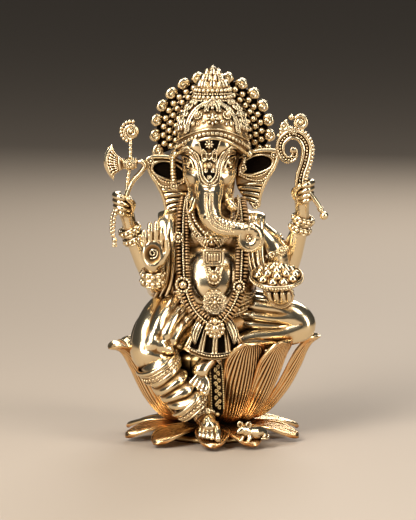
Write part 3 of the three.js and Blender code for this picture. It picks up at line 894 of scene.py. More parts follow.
def arms():
    rear_arm("right", -1, REAR_RIGHT)
    rear_arm("left", 1, REAR_LEFT)
    _, elbow, wrist, _ = FRONT_LEFT
    right_bracelet = (at(-28, -23.2, 79.6), (0, -0.3, 1), 5.2, 0.9, 2, 3.6, 1.2)
    left_bracelet = (wrist + at(0, 1.2, 0), wrist - elbow, 5.6, 1, 2, 3.4, 1.05)
    front_arm("right", -1, FRONT_RIGHT, at(-0.6, -0.8, 0), right_bracelet)
    front_arm("left", 1, FRONT_LEFT, at(2.4, -1.4, 2.6), left_bracelet)


def grasping_hand(side, s, joints):
    """A fist whose four fingers curl round what it holds, from the outside inwards."""
    wrist, hand = joints[2:]
    clay = Clay(hand - (9, 10, 18), hand + (9, 9, 11), 0.3)
    clay.add(bone([wrist, (wrist + hand) / 2, hand + at(0, 0.3, -2)], [3.5, 3.3, 3.8], 8))
    clay.add(blob(hand + at(-s * 0.2, -0.4, 0), (4.1, 3.1, 4.8)), 2)
    for k, (z, r) in enumerate(((3.9, 1.35), (1.3, 1.4), (-1.3, 1.35), (-3.6, 1.2))):
        course = [
            (3.0, 0.3, 1.0), (4.6 - 0.2 * k, -2.5, 0.8), (2.6 - 0.3 * k, -5.3, 0),
            (-0.6 + 0.2 * k, -4.7, -1.0), (-1.8, -3.3, -1.2),
        ]
        finger = [hand + at(s * x, y, z + dz) for x, y, dz in course]
        clay.add(bone(finger, [r, r * 1.12, r * 1.1, r * 0.95, r * 0.7], 14), 0.25)
    thumb = [hand + at(-s * x, y, z) for x, y, z in ((3.2, -1, -2.5), (3.9, -3.8, 0.6), (1.6, -6.2, 3.2))]
    clay.add(bone(thumb, [1.6, 1.5, 1.15], 10), 0.4)
    p = Piece(f"rear_{side}_hand", finish="skin").add(clay.surface())
    p.add(rosette_at(hand + at(s * 1.2, -6.3, 4.3), (0, -1, 0.2), 1.1))
    p.make()


def blessing_hand():
    """The open palm, with a scroll on it and a line under each finger."""
    clay = Clay((-38, -34, 78), (-17, -20, 110), 0.28)
    clay.add(bone([(-28, -23.5, 81.5), (-27.8, -26.3, 87)], [3.6, 3.9], 6))
    clay.add(blob((-27.7, -26.9, 91.6), (5.7, 2.5, 6.6)), 2)
    clay.add(blob((-24.6, -27.6, 89.5), (2.6, 1.9, 4), [(0.94, 0, 0.34), DEEP, (-0.34, 0, 0.94)]), 1)
    for x, tip_x, root, tip, r in (
        (-23.9, -23.4, 96, 104.6, 1.2), (-26.5, -26.2, 96.8, 106.8, 1.3), (-29.2, -29.2, 96.4, 106.2, 1.28),
        (-31.7, -32.1, 95, 102.8, 1.15),
    ):
        middle = (root + tip) / 2
        finger = [(x, -27, root - 1), ((x + tip_x) / 2, -27.6, middle), (tip_x, -27.4, tip - r)]
        clay.add(bone(finger, [r, r * 1.02, r * 0.94], 12), 0.25)
        for z in (root + 2.2, middle + 1.6, tip - 2.2):
            clay.cut(bone([(x - 2, -28.95, z), (x + 2, -28.95, z)], 0.3, 3), 0.3)
    clay.add(bone([(-23.6, -27, 88.5), (-21.2, -27.8, 92.5), (-21.4, -28.4, 98)], [1.9, 1.6, 1.15], 10), 0.8)
    clay.cut(blob((-28.2, -30.9, 91.2), (4.6, 2.7, 5.4)), 1.6)
    palm = clay.surface()
    skin = Skin(palm)
    x, y, z = palm[0].T
    # Painted shade: the middle of the palm is darkened.
    shade = 0.7 * (1 - smooth(np.hypot((x + 28) / 4.6, (z - 91.4) / 5.6), 0.6, 1.05)) * (y < -27)
    p = Piece("front_right_hand", finish="skin").add(palm, grime=shade)
    p.add(wire(skin.lay(spiral((-27.8, 91.6), 2.7, 0.5, 1.6, 240, 44), 0.1)[0], [0.42, 0.4, 0.3]))
    for x in (-24.4, -27, -29.6, -31.8):
        p.add(wire(skin.lay(arc(x - 1, 97.4, x + 1, 97.4, -0.2, 7), 0.05)[0], 0.24, 6))
    p.make()


def bowl_hand():
    clay = Clay((20, -38, 63), (42, -12, 80), 0.3)
    clay.add(bone([(32, -16, 69.6), (32, -21, 70.4)], [4, 3.6], 5))
    clay.add(blob((31.6, -24, 70.8), (5.6, 5.6, 2.5)), 2)
    fingers = (
        (28, 26.6, -33, 1.4), (30.6, 29.7, -34, 1.5), (33.2, 32.8, -33.6, 1.45), (35.6, 35.6, -32, 1.3),
    )
    for x, tip_x, y, r in fingers:
        middle = (x + tip_x) / 2
        course = [(x, -25, 70.6), (middle, -29.5, 69.8), (tip_x, y + 0.8, 71.4), (tip_x - 0.3, y, 73.2)]
        clay.add(bone(course, [r, r, r * 0.95, r * 0.8], 12), 0.35)
    clay.add(bone([(27.4, -21, 71), (25.2, -25.5, 72.6), (25, -30, 74.4)], [1.9, 1.6, 1.2], 10), 0.8)
    Piece("front_left_hand", finish="skin").add(clay.surface()).make()


def hands():
    grasping_hand("right", -1, REAR_RIGHT)
    grasping_hand("left", 1, REAR_LEFT)
    blessing_hand()
    bowl_hand()


# ---------------------------------------------------------------- legs and feet
def right_thigh():
    course = through([(-7, -3, 59), (-19, -14.5, 57.5), (-26, -23, 49.5), (-28, -27.6, 34.4)], 90)

    def drape(turn, t):
        wave = 10.5 * turn / (2 * np.pi) + 0.9 * t + 0.35 * np.sin(2 * turn + 3 * t)
        creases = sum(bell(t, place + 0.04 * np.sin(turn + 1), 0.03) for place in (0.7, 0.82))
        inner = smooth(np.cos(turn) - 0.6 * np.sin(turn), -0.3, 0.8)
        folds = 1.5 * (ridge(wave, 1.1) - 1) * smooth(t, 0.02, 0.16) * (1 - 0.9 * smooth(t, 0.5, 0.85))
        return folds - creases * inner

    p = Piece("right_thigh", finish="cloth")
    p.add(sweep(course, [12.6, 14, 14.4, 13.4, 12, 11], 1, ACROSS, 110, drape, steps=170)).make()


CALF = through([(-28, -26.5, 44), (-22.5, -28.6, 34.5), (-13.6, -30.4, 24), (-6.5, -31, 15.5)], 120)
CALF_WIDTHS = [9.8, 9.8, 9.2, 8.8, 8.2, 7]


def sag(turn):
    """How much further down the calf its cloth hangs at the front, as a share of the calf."""
    return 0.07 * (1 - np.sin(turn))


def round_calf(t0, droop, lift):
    """A ring of points round the calf's cloth, lower at the front."""
    turn = full_turn(220)
    across, up = rails(CALF, ACROSS)
    t = t0 + droop * sag(turn)
    out = at_share(across, t) * np.cos(turn)[:, None] + at_share(up, t) * np.sin(turn)[:, None]
    return at_share(CALF, t) + out * (spread(CALF_WIDTHS, t) + lift)[:, None]


def right_calf():
    def wrap(turn, t):
        wave = 7.2 * (t - sag(turn)) + 0.22 * np.sin(turn - 0.9) + 0.12 * np.sin(2 * turn + 9 * t)
        share = wave - np.floor(wave)
        hang = smooth(share, 0.02, 0.55) * (1 - smooth(share, 0.72, 1))
        between = smooth(t - sag(turn), 0.2, 0.24) * (1 - smooth(t, 0.8, 0.83))
        return 1.6 * (hang - 1) * between * (0.8 + 0.2 * np.sin(turn + 4 * t))

    p = Piece("right_calf", finish="cloth")
    p.add(sweep(CALF, CALF_WIDTHS, 1, ACROSS, 110, wrap, steps=260))
    mm = 1 / length_of(CALF)
    for t0, droop in ((0.12, 1.4), (0.86, 0.3)):
        for height, lift, thick in ((-2.9, 0.5, 1.1), (-1.6, 0.35, 0.5), (1.7, 0.2, 0.5)):
            p.add(loop_of(round_calf(t0 + height * mm, droop, lift), thick, around=12))
        p.add(loop_of(round_calf(t0, droop, -0.9), 1.4, around=12, flat=0.8), grime=0.25)
        for height, size, lift, first in ((0, 0.68, 0.35, 0), (-0.85, 0.34, 0.2, 1), (0.85, 0.34, 0.2, 1)):
            ring = round_calf(t0 + height * mm, droop, lift)
            count = int(length_of(ring) / 2.0)
            p.add(beads(evenly(np.vstack([ring, ring[:1]]), 2 * count + 1)[first:-1:2], size))
    p.make()


def foot(name, course, radii, toes, lo, hi, anklet):
    """toes holds (points, radius) from the smallest toe to the big one."""
    clay = Clay(lo, hi, 0.28)
    clay.add(bone(course, radii, 12))
    for toe, r in toes:
        clay.add(bone(toe, [r * 1.05, r], 5), 0.5)
        nail = np.asarray(toe[-1], float) + at(0, -r * 0.9, r * 0.75)
        clay.cut(blob(nail, (r * 0.5, r * 0.35, r * 0.3)), 0.25)
    p = Piece(name, finish="skin").add(clay.surface())
    bangles(p, *anklet, bead=0.75)
    p.make()


def right_foot():
    toes = [
        ([(x * 0.8 - 0.5, -36.6, 12), (x, -40.4, 9.2 - 0.1 * k), (x + 0.05, -42 - 0.2 * k, 7.6 - 0.35 * k)], r)
        for k, (x, r) in enumerate(((-5.9, 0.85), (-4.2, 0.95), (-2.35, 1.02), (-0.3, 1.1), (2.4, 1.5)))
    ]
    course = [(-3.8, -30, 14), (-2.4, -35, 13), (-1.6, -37.8, 11.4)]
    anklet = (at(-3.6, -31, 15), (0.3, -0.6, -0.75), 4.6)
    foot("right_foot", course, [4.4, 4.1, 3.4], toes, (-11, -47, 1), (8, -24, 20), anklet)


def left_foot():
    toes = [
        ([(-5.4, -30, 36), (1.4 * k - 7.8, -32.4, 33.8 - 0.8 * k), (1.75 * k - 10.2, -33.6, 31.2 - 1.25 * k)], r)
        for k, r in enumerate((1.0, 1.05, 1.1, 1.15, 1.45))
    ]
    course = [(2.6, -24.5, 43), (-2.6, -27.4, 40), (-5.6, -29.4, 36.4)]
    anklet = (at(0.9, -26.4, 41.2), (0.75, 0.5, 0.75), 4.1)
    foot("left_foot", course, [3.4, 3.8, 4.1], toes, (-17, -39, 20), (8, -18, 50), anklet)


def left_leg():
    """The leg folded across the seat, from the hip round the knee and back to the ankle."""
    course = [
        (8, -4, 60), (22, -9.4, 60.4), (37, -12.6, 59.4), (42, -13.8, 55), (33, -15, 51.4),
        (18, -17.4, 48.4), (7, -21, 43),
    ]

    def folds(turn, t):
        wave = 4.5 * turn / np.pi + 1.2 * t + 0.3 * np.sin(2 * turn + 5 * t)
        thigh_part = smooth(t, 0.02, 0.1) * (1 - smooth(t, 0.3, 0.44))
        shin_part = smooth(t, 0.58, 0.66) * (1 - smooth(t, 0.95, 1))
        deep = 1.5 * (ridge(wave, 1.1) - 1) * thigh_part
        return deep + 0.8 * (ridge(wave * 0.8 + 3 * t, 0.9) - 1) * shin_part

    widths = [11.8, 11.6, 10.9, 9.6, 7.9, 6.8, 6.2, 6, 5.6, 5.2, 4.8]
    p = Piece("left_leg", finish="cloth")
    p.add(sweep(through(course, 200), widths, 1, DEEP, 130, folds, steps=240)).make()


def legs():
    right_thigh()
    right_calf()
    right_foot()
    left_foot()
    left_leg()
# ---------------------------------------------------------------- lotus
UPRIGHT = [f"upper_petal_{k}" for k in range(1, 10)]
BASE = [f"base_petal_{k}" for k in range(1, 11)]


def petal_grid(rows, cols):
    """The shares out along a petal of its skin's points, closer at the tip, and the turn round its edge."""
    s = np.linspace(0, 1, rows)[:, None]
    return 1 - (1 - s) ** 1.5, full_turn(cols)[None]


def petal(node, spine, half_width, wall, cup, relief, rows, cols):
    """A leaf wrapped as one closed skin, by the share t out along it and the share w across, from -1 to 1.

    spine holds (reach, height) points. half_width(t), wall(t, w), cup(t) and relief(t, w, outer) shape it.
    """
    out = unit(middle_of(node) * at(1, 1, 0))
    across = at(-out[1], out[0], 0)
    t, turn = petal_grid(rows, cols)
    r, z = at_share(through(spine, rows * 3), t[:, 0]).T[..., None]
    slope = unit(np.gradient(np.hstack([r, z]), axis=0))
    w = -np.cos(turn)
    half = half_width(t)
    outer = np.sin(turn) < 0
    thick = wall(t, w) * fuller(np.sin(turn), 0.5) / 2 * np.sqrt(np.clip((1 - t) * 14, 0.02, 1))
    lift = cup(t) * half * w * w + thick - np.where(outer, 1, -1) * relief(t, w, outer)
    rr = r - slope[:, 1:] * lift
    zz = z + slope[:, :1] * lift
    points = out * rr[..., None] + across * (half * w)[..., None] + at(0, 0, 1) * (zz + 0 * w)[..., None]
    return points.reshape(-1, 3), quads(rows, cols)


def round_leaf(foot, widest, blunt=3.2):
    """Share of the full width: swells from the foot and closes in a round tip."""

    def width(t):
        swell = foot + (1 - foot) * np.sin(np.pi / 2 * np.clip(t / widest, 0, 1))
        return swell * np.sqrt(np.clip(1 - np.clip((t - widest) / (1.001 - widest), 0, 1) ** blunt, 0, 1))

    return width


# How a petal rises, as (share of its reach, share of its height) points, with the tip turned outwards.
OPEN = [
    (0, 0), (0.3, 0.08), (0.56, 0.37), (0.73, 0.66), (0.81, 0.87), (0.88, 0.96), (0.96, 0.96),
    (1.03, 0.9),
]
HOODED = [
    (0, 0), (0.3, 0.08), (0.58, 0.37), (0.77, 0.68), (0.85, 0.88), (0.9, 0.98), (0.96, 1.02), (1.0, 1.0),
]
FRONT_PETALS = UPRIGHT[:2]
COURSES = {
    UPRIGHT[0]: HOODED,
    UPRIGHT[1]: HOODED,
    UPRIGHT[2]: [(0, 0), (0.3, 0.08), (0.58, 0.37), (0.75, 0.66), (0.84, 0.86), (0.92, 0.965), (1.03, 1.01)],
    UPRIGHT[7]: [(0, 0), (0.3, 0.08), (0.56, 0.37), (0.7, 0.64), (0.77, 0.8), (0.84, 0.87), (0.93, 0.87)],
    UPRIGHT[8]: [(0, 0), (0.3, 0.06), (0.56, 0.31), (0.76, 0.66), (0.87, 0.83), (0.97, 0.9), (1.1, 0.9)],
}
ROOT_REACH = 14
UPRIGHT_GRID = 84, 264


def upright_ribs(t, w, outer):
    """Fine veins and a raised rim outside, broad ribs inside."""
    beyond = np.clip((t - 0.5) / 0.5, 0, 1)
    edge = 1 - np.sqrt(np.clip(w**2 + beyond**5, 0, 1))
    vein = 5.5 * w * (1 + 0.35 * smooth(t, 0.45, 0.95))
    fade = smooth(t, 0.0, 0.08) * smooth(edge, 0.05, 0.16)
    ground = -0.55 * (1 - ridge(vein, 3.2)) * outer - 0.35 * (1 - ridge(3.5 * w, 0.6)) * ~outer
    return ground * fade - 0.5 * bell(edge, 0.07, 0.03) * outer


def upright_petals():
    corners = np.array([box(node) for node in UPRIGHT])
    reach_x, reach_y = np.abs(corners[..., :2]).max((0, 1)) - (0.5, 1.0)
    foot, top = corners[0, 0, 2] + 1, corners[0, 1, 2]
    t, turn = petal_grid(*UPRIGHT_GRID)
    # Painted highlight: the upper face of each upright petal's tip is lightened.
    painted_tip_highlight = smooth(t, 0.79, 0.89) * (np.sin(turn) > 0)
    for node in UPRIGHT:
        out = unit(middle_of(node) * at(1, 1, 0))
        span = 1 / math.hypot(out[0] / reach_x, out[1] / reach_y) - ROOT_REACH
        tall = top - foot - 0.6
        spine = [(ROOT_REACH + span * a, foot + tall * b) for a, b in COURSES.get(node, OPEN)]
        front = node in FRONT_PETALS
        width = round_leaf(0.4, 0.74, 2.6) if front else round_leaf(0.4, 0.6)
        flatter = 1.1 if front else 0.35
        wall = lambda t, w: 2.3 + 0.6 * smooth(np.abs(w), 0.84, 0.98) * (1 - smooth(t, 0.8, 1))
        cup = lambda t: 0.42 * (1 - flatter * smooth(t, 0.7, 1.0))
        skin = petal(node, spine, lambda t: 10 * width(t), wall, cup, upright_ribs, *UPRIGHT_GRID)
        Piece(node, finish="petal").add(skin, grime=-0.22 * painted_tip_highlight.ravel()).make()


def base_width(t):
    swell = 0.36 + 0.64 * np.sin(np.pi / 2 * np.clip(t / 0.55, 0, 1))
    tip = np.clip((t - 0.55) / 0.451, 0, 1)
    return 8.3 * swell * np.clip(1 - tip**1.9, 0.0004, 1) ** 0.62


def base_ribs(t, w, outer):
    """Arcs that follow the edges on the upper side, faint veins below."""
    arcs = 1 - ridge(5.5 * np.abs(w) + 1.6 * (1 - t) ** 2, 0.7)
    fade = smooth(t, 0.05, 0.15) * (1 - smooth(t, 0.9, 0.97)) * (1 - smooth(np.abs(w), 0.82, 0.92))
    return -0.6 * arcs * ~outer * fade - 0.2 * (1 - ridge(5 * w, 0.7)) * outer


def base_petals():
    spine = [(13, 7.2), (22, 6.4), (30, 5.8), (36.5, 5.2), (41, 3.9), (43.8, 1.9)]
    wall = lambda t, w: 1.9 + 1.1 * smooth(np.abs(w), 0.78, 0.95) + 0.7 * smooth(t, 0.85, 0.95)
    cup = lambda t: 0.16 - 0.3 * smooth(t, 0.5, 1)
    for node in BASE:
        Piece(node, finish="petal").add(petal(node, spine, base_width, wall, cup, base_ribs, 80, 150)).make()


def lotus_hub():
    _, (r, _, seat) = box("lotus_hub")
    foot = 23.0
    profile = [
        (0, 0), (foot - 0.5, 0), (foot, 0.6), (foot, 2.2), (19, 5), (15, 8), (14.5, 12), (19, 20), (24, 30),
        (r - 0.6, 38), (r, seat - 2), (r - 1.5, seat), (0, seat),
    ]
    ribs = lambda turn, z: 0.5 * (ridge(24 * turn / (2 * np.pi), 0.6) - 1) * smooth(z, 8, 14)
    Piece("lotus_hub", finish="dark").add(turned(profile, 384, ribs, 120)).make()




# ---------------------------------------------------------------- head dress
CROWN_AXIS = at(0, -5, 0)
BRIM_DIP = 9
LEVEL_ABOVE = 158
CROWN = np.array([
    (144.4, 15.4), (145, 16.6), (147, 17), (150, 16.9), (153, 16.2), (155.5, 14.9), (157.5, 13),
    (159.4, 10.9), (161, 9.2), (163, 8.5), (165, 8.3), (167.6, 7.8), (168.4, 6),
])


def crown_radius(z):
    return np.interp(z, CROWN[:, 0], CROWN[:, 1])


def on_crown(path, lift=0.0):
    """(turn in degrees from the front, height) points wrapped on the crown, whose brim dips to the sides."""
    path = np.atleast_2d(np.asarray(path, float))
    a, z = np.radians(path[:, 0]), path[:, 1]
    r = crown_radius(z)
    slope = crown_radius(z + 0.5) - crown_radius(z - 0.5)
    out = unit(np.stack([np.sin(a), -np.cos(a), -slope * np.ones_like(a)], 1))
    dip = BRIM_DIP * np.sin(a) ** 2 * np.clip((LEVEL_ABOVE - z) / 12, 0, 1)
    points = np.stack([r * np.sin(a), CROWN_AXIS[1] - r * np.cos(a), z - dip], 1)
    return points + out * lift, out


def round_crown(z, n, lift=0.0):
    """n points of a ring on the crown."""
    return on_crown(np.stack([np.degrees(full_turn(n)), np.full(n, z)], 1), lift)


def leaf_shape():
    """A plump pointed leaf one long, with lobed sides and a vein, rising out of the surface."""
    v = np.linspace(0, 1, 20)[:, None]
    turn = full_turn(24)[None]
    half = 0.36 * np.sin(np.pi * v**0.8) ** 0.8 * (1 + 0.2 * np.abs(np.cos(3 * np.pi * v))) + 0.004
    x = half * np.cos(turn)
    y = half * np.sin(turn)
    z = np.where(y > 0, y * (0.95 - 0.5 * bell(x, 0, 0.05)), 0.5 * y) + 0.18 * v**2
    return np.stack([x, v - 0.4 + 0 * turn, z], -1).reshape(-1, 3), quads(20, 24)


LEAF = leaf_shape()
BLOCK = BALLS[FINE][0] / (np.abs(BALLS[FINE][0]) ** 5).sum(1, keepdims=True) ** 0.2, BALLS[FINE][1]


def leaves_at(path, size, lean=0.0, lift=0.2):
    """Leaves laid on the crown, leaning by degrees from upright."""
    on, out = on_crown(path, lift)
    right = unit(np.cross(UPWARD, out))
    up = np.cross(out, right)
    lean = np.radians(np.broadcast_to(lean, len(on)))[:, None]
    up, right = up * np.cos(lean) + right * np.sin(lean), right * np.cos(lean) - up * np.sin(lean)
    return stamp(LEAF, on, right, up, size)


def curl_on_crown(u, z, r, start, hand, thick=0.5):
    degrees = np.degrees(1 / crown_radius(z))
    line = spiral((0, 0), r, 0.3, 1.3, start, 34, hand) * at(degrees, 1) + (u, z)
    on, out = on_crown(line, 0.5)
    return sweep(on, [thick * 0.7, thick, thick * 0.85, thick * 0.7], around=10, side=out)


def arch(u, half, foot, top):
    """(turn, height) points of a full arch on the crown."""
    t = np.linspace(-math.pi / 2, math.pi / 2, 61)
    return np.stack([u + half * fuller(np.sin(t), 0.8), foot + (top - foot) * np.abs(np.cos(t)) ** 0.8], 1)


def crown_shell():
    axis = CROWN_AXIS
    rows = [round_crown(z, 192)[0] for z in CROWN[:, 0]]
    foot, top = rows[0], rows[-1].mean(0)
    rows.insert(0, foot * at(0.9, 0.9, 1) + axis * 0.1)
    rows.insert(0, foot * at(0.02, 0.02, 1) + axis * 0.98 + at(0, 0, 0.5))
    rows.append(rows[-1] * 0.02 + top * 0.98)
    return np.vstack(rows), quads(len(rows), 192)


def crown_panel(p, turn):
    """The arched panel at the crown's front or back."""
    outer = ((47, 149.8, 161.3, 0.65, 0.6), (40.5, 150, 160.2, 0.45, 0.6))
    inner = ((14, 156.2, 162.2, 0.55, 1.2), (8.5, 156.4, 160.6, 0.42, 1.2))
    for half, foot, top, r, lift in outer + inner:
        p.add(sweep(evenly(on_crown(arch(turn, half, foot, top), lift)[0], 70), r, around=10))
    p.add(strung(on_crown(arch(turn, 43.8, 150, 160.8), 0.5)[0], 0.42, 1.05))
    on, out = on_crown([(turn, 153.6), (turn - 26, 155.4), (turn + 26, 155.4), (turn, 157.6)], 0.6)
    for k, size, shape in ((0, 3.0, LEAFY), (1, 2.4, FLOWER), (2, 2.4, FLOWER)):
        p.add(rosette_at(on[k], out[k], size, shape))
    p.add(beads(on + out * 1.1, at(1.3, 1.35, 1.35, 0.8), FINE))
    p.add(leaves_at([(turn, 159.2)], 3.2, 0, 1.0))
    for s in SIDES:
        low = [(13, 157.4), (15, 152.6), (24, 151.9), (33, 152.4)]
        high = [(50, 160.2), (64, 160.4), (78, 160.2), (20, 161.9)]
        leans = (s * 20, s * 35, 0, -s * 20)
        p.add(leaves_at([(turn + s * u, z) for u, z in low], (3.2, 2.6, 2.4, 3), leans))
        for u, z, r, hand, start in ((17, 160, 1.1, s, 20), (35, 157.2, 1.3, -s, 180)):
            p.add(curl_on_crown(turn + s * u, z, r, start, hand))
        p.add(leaves_at([(turn + s * u, z) for u, z in high], (2.8, 2.8, 2.8, 1.8), s * 16))


def crown_sides(p, s):
    """Scrolls and leaves between the two panels."""
    scrolls = (
        (57, 154, 2.1, 90, -1), (57, 158.2, 1.5, 270, 1), (75, 153.2, 1.8, 90, 1),
        (72, 157, 1.7, 90, -1), (90, 154.4, 2.1, 270, -1), (90, 158.6, 1.5, 90, 1),
        (106, 153.4, 1.8, 90, -1), (109, 157.2, 1.6, 90, 1), (123, 154.6, 2.0, 270, 1),
        (123, 158.8, 1.3, 90, -1),
    )
    for u, z, r, start, hand in scrolls:
        p.add(curl_on_crown(s * u, z, r, start, hand * s, 0.62))
        p.add(beads(on_crown([(s * u, z)], 0.7)[0], 0.36 * r))
    for k, u in enumerate(range(50, 131, 10)):
        p.add(leaves_at([(s * u, 152.2)], 3.2, s * (18 if k % 2 else -18)))
        p.add(leaves_at([(s * (u + 5), 156)], 3.0, s * (-25 if k % 2 else 25)))


def crown():
    p = Piece("crown", finish="jewel")
    # The dome under the ornaments is darkened: patina, and painted shade where the ornaments hide it.
    p.add(crown_shell(), grime=0.4)
    for z, r, lift in ((145.1, 0.9, 0.2), (149.2, 0.45, 0.3)):
        p.add(loop_of(round_crown(z, 360, lift)[0], r, around=12))
    on, out = round_crown(147.2, 54, 0.35)
    p.add(stamp(BLOCK, on, np.cross(UPWARD, out), UPWARD, 0.8))
    for z, r, n, lift in (
        (163.2, 1.05, 26, 0.5), (166.4, 1.0, 24, 0.4), (164.8, 0.5, 46, 0.5), (161.6, 0.6, 44, 0.5),
    ):
        p.add(beads(round_crown(z, n, lift)[0], r))
    for turn in (0, 180):
        crown_panel(p, turn)
    for s in SIDES:
        crown_sides(p, s)
    p.add(beads(on_crown([(u, 145.4) for u in (78, -78, 102, -102)], 1.2)[0], 1.7))
    p.make()


def finial():
    p = Piece("crown_finial", finish="jewel")
    profile = [
        (0, 166.5), (6.4, 167), (6.6, 168.4), (5, 170), (4, 172.5), (3, 174.8), (2.2, 176), (1.2, 177.4),
        (0, 177.8),
    ]
    p.add(turned(profile, 96, None, 60, CROWN_AXIS))
    for n, foot, radius, size, lean, shift in (
        (10, 168.4, 6.0, 5.6, 24, 0), (8, 171.4, 4.3, 5.2, 20, 0.5), (6, 174, 3.0, 4.4, 22, 0),
    ):
        for k in range(n):
            a = 2 * np.pi * (k + shift) / n
            out = at(math.sin(a), -math.cos(a), 0)
            up = unit(UPWARD - out * math.tan(math.radians(lean)))
            p.add(stamp(LEAF, CROWN_AXIS + at(0, 0, foot) + out * radius, np.cross(UPWARD, out), up, size))
    a = full_turn(20)
    ring = np.stack([6.6 * np.sin(a), -6.6 * np.cos(a), np.full(20, 168)], 1)
    p.add(beads(CROWN_AXIS + ring, 0.8, FINE))
    p.add(beads([CROWN_AXIS + at(0, 0, 176.9)], 1.15))
    p.make()


HALO = at(0, 6, 145)


def on_halo(r, a, y):
    """Points at a radius and angle of the halo, y behind its middle plane."""
    return HALO + np.stack([r * np.cos(a), y + 0 * a, r * np.sin(a)], -1)


def halo():
    p = Piece("halo", finish="jewel")
    start, span = math.radians(-22), math.radians(224)
    angle = start + span * np.linspace(0, 1, 200)[:, None]
    turn = full_turn(96)[None]
    u = (1 - np.cos(turn)) / 2
    spokes = ridge(15 * (angle - start) / span, 0.7) * smooth(u, 0.3, 0.6)
    y = 1.6 - 1.6 * fuller(np.sin(turn)) + np.where(np.sin(turn) < 0, 0.5 * spokes + 0.4 * ridge(4 * u), 0)
    # The plate behind the beads and scrolls is darkened: patina, and painted shade between them.
    p.add((on_halo(5 + 21.6 * u, angle, y).reshape(-1, 3), quads(200, 96)), grime=0.6)
    for k in range(15):
        a = math.radians(-18) + math.radians(216) * k / 14
        c = on_halo(27.0, a, -0.6)
        hand = -1 if math.cos(a) > 0.05 else 1
        tip_in = np.linspace(0, -1.2, 50)
        widths = [0.95, 1.35, 1.3, 1.05, 0.75, 0.5]
        p.add(scroll(c, 2.45, 0.8, 1.2, math.degrees(a - 2.4 * hand), 50, hand, widths, 16, tip_in))
        p.add(beads([c + at(0, -1.6, 0)], 0.8, FINE))
        p.add(loop_of(front_ring(c + at(0, 3.4, 0), 2.1, 36), 1.0, DEEP, 10))
        p.add(beads([c + at(0, 3.8, 0)], 1.1), disc(c + at(0, 1.6, 0), 2.5, 2.2))
    for r, bead, n, shift, y in (
        (23.4, 1.55, 22, 0, -0.6), (20.5, 1.5, 21, 0.5, -1.2), (17.7, 1.4, 19, 0, -1.6),
    ):
        p.add(beads(on_halo(r, start + span * (np.arange(n) + shift + 0.5) / (n + 0.5), y), bead))
        p.add(wire(on_halo(r - 1.45, start + span * np.linspace(0.01, 0.99, 160), -0.1), 0.35))
    p.make()


def ear_hollow(u, v):
    """Below 1 inside the leaf-shaped hollow of an ear."""
    along = (u - 0.52) / 0.42
    return along**2 + ((v - 0.2 + 0.02 * along) / 0.15) ** 2


def ear_pleats(u, v):
    return ridge(9 * (v - 0.14 * u), 0.8)


def ear(name, s, drop, drop_line, drop_radius):
    place = lambda x, z, y=0.0: (s * x, -1.6 + y, z - drop)
    inner = [(11.6, 133.6, 1.2), (11, 127.5, 0), (11.4, 121, -0.5), (14.4, 115.5, -0.5), (18.6, 110.8, -0.2)]
    outer = [
        (30.6, 136.4, -0.8), (29.2, 130.2, -1), (25.4, 123.6, -0.6), (22.8, 117.4, -0.3), (22, 110.4, 0),
    ]

    def shape(u, v):
        hollow = ear_hollow(u, v)
        leaf = -1.8 * (1 - smooth(hollow, 0.55, 1.0)) + 0.55 * bell(hollow, 1.15, 0.28)
        return leaf + 0.85 * ear_pleats(u, v) * smooth(v, 0.5, 0.56)

    bow = lambda u, v: np.stack([0 * u, 0 * u, 6.4 * u * (1 - u) * (1 - v) ** 3], -1)
    u, v, turn = slab_grid(120, 120)
    # Darkened inside the ear's hollow and in the grooves between its pleats: patina, and painted shade.
    dark = 0.9 * (1 - smooth(ear_hollow(u, v), 0.55, 1.0))
    dark = (dark + 0.3 * (1 - ear_pleats(u, v)) * smooth(v, 0.5, 0.56)) * (np.sin(turn) > 0)
    edges = ([place(*point) for point in edge] for edge in (inner, outer))
    p = Piece(name).add(slab(*edges, shape, 2.8, 120, 120, warp=bow), grime=dark.ravel())
    rim = [
        (12, 134, -0.6), (18.6, 136.8, -1), (25, 137.6, -1.4), (30.8, 136.6, -1.8), (29.6, 130.4, -1.7),
        (25.8, 123.8, -1.4), (23, 117.4, -1), (21.8, 110.2, -0.8),
    ]
    p.add(wire(through([place(*point) for point in rim], 90), [0.8, 1, 1, 0.95, 0.9, 0.8], 14))
    for low, r in ((0, 0.6), (-2, 0.64)):
        course = [(12.6, 127 + 0.5 * low), (18, 125.2 + 0.8 * low), (24, 126.2 + 1.3 * low)]
        course += [(28.4 + 0.1 * low, 130.8 + 1.1 * low)]
        p.add(strung(through([place(x, z, -2) for x, z in course], 40), r))
    p.add(rosette_at(place(29.2, 135.4, -2.4), (s * 0.2, -1, 0.1), 1.7))
    p.add(scroll((s * 20, -3.6, 111.4 - drop), 1.9, 0.4, 1.3, 90, 36, -s, [0.6, 0.6, 0.4]))
    x, top, foot = drop_line
    hung = [(x, top, -6), (x + 0.3, (top + foot) / 2, -6.6), (x - 0.2, foot, -6.6)]
    string = through([place(*point) for point in hung], 30)
    p.add(rope(string, drop_radius, 1.5), rosette_at(string[-1] + at(0, -0.2, -1.4), FORWARD, 1.9))
    for k in range(3, 30, 5):
        p.add(loop_of(hoop(string[k], UPWARD, 1.05, n=24), 0.3, around=6))
    p.make()


def ears():
    ear("left_ear", 1, 0, (14.6, 137.4, 131), 0.9)
    ear("right_ear", -1, 3, (18.4, 140.6, 125.4), 1.5)


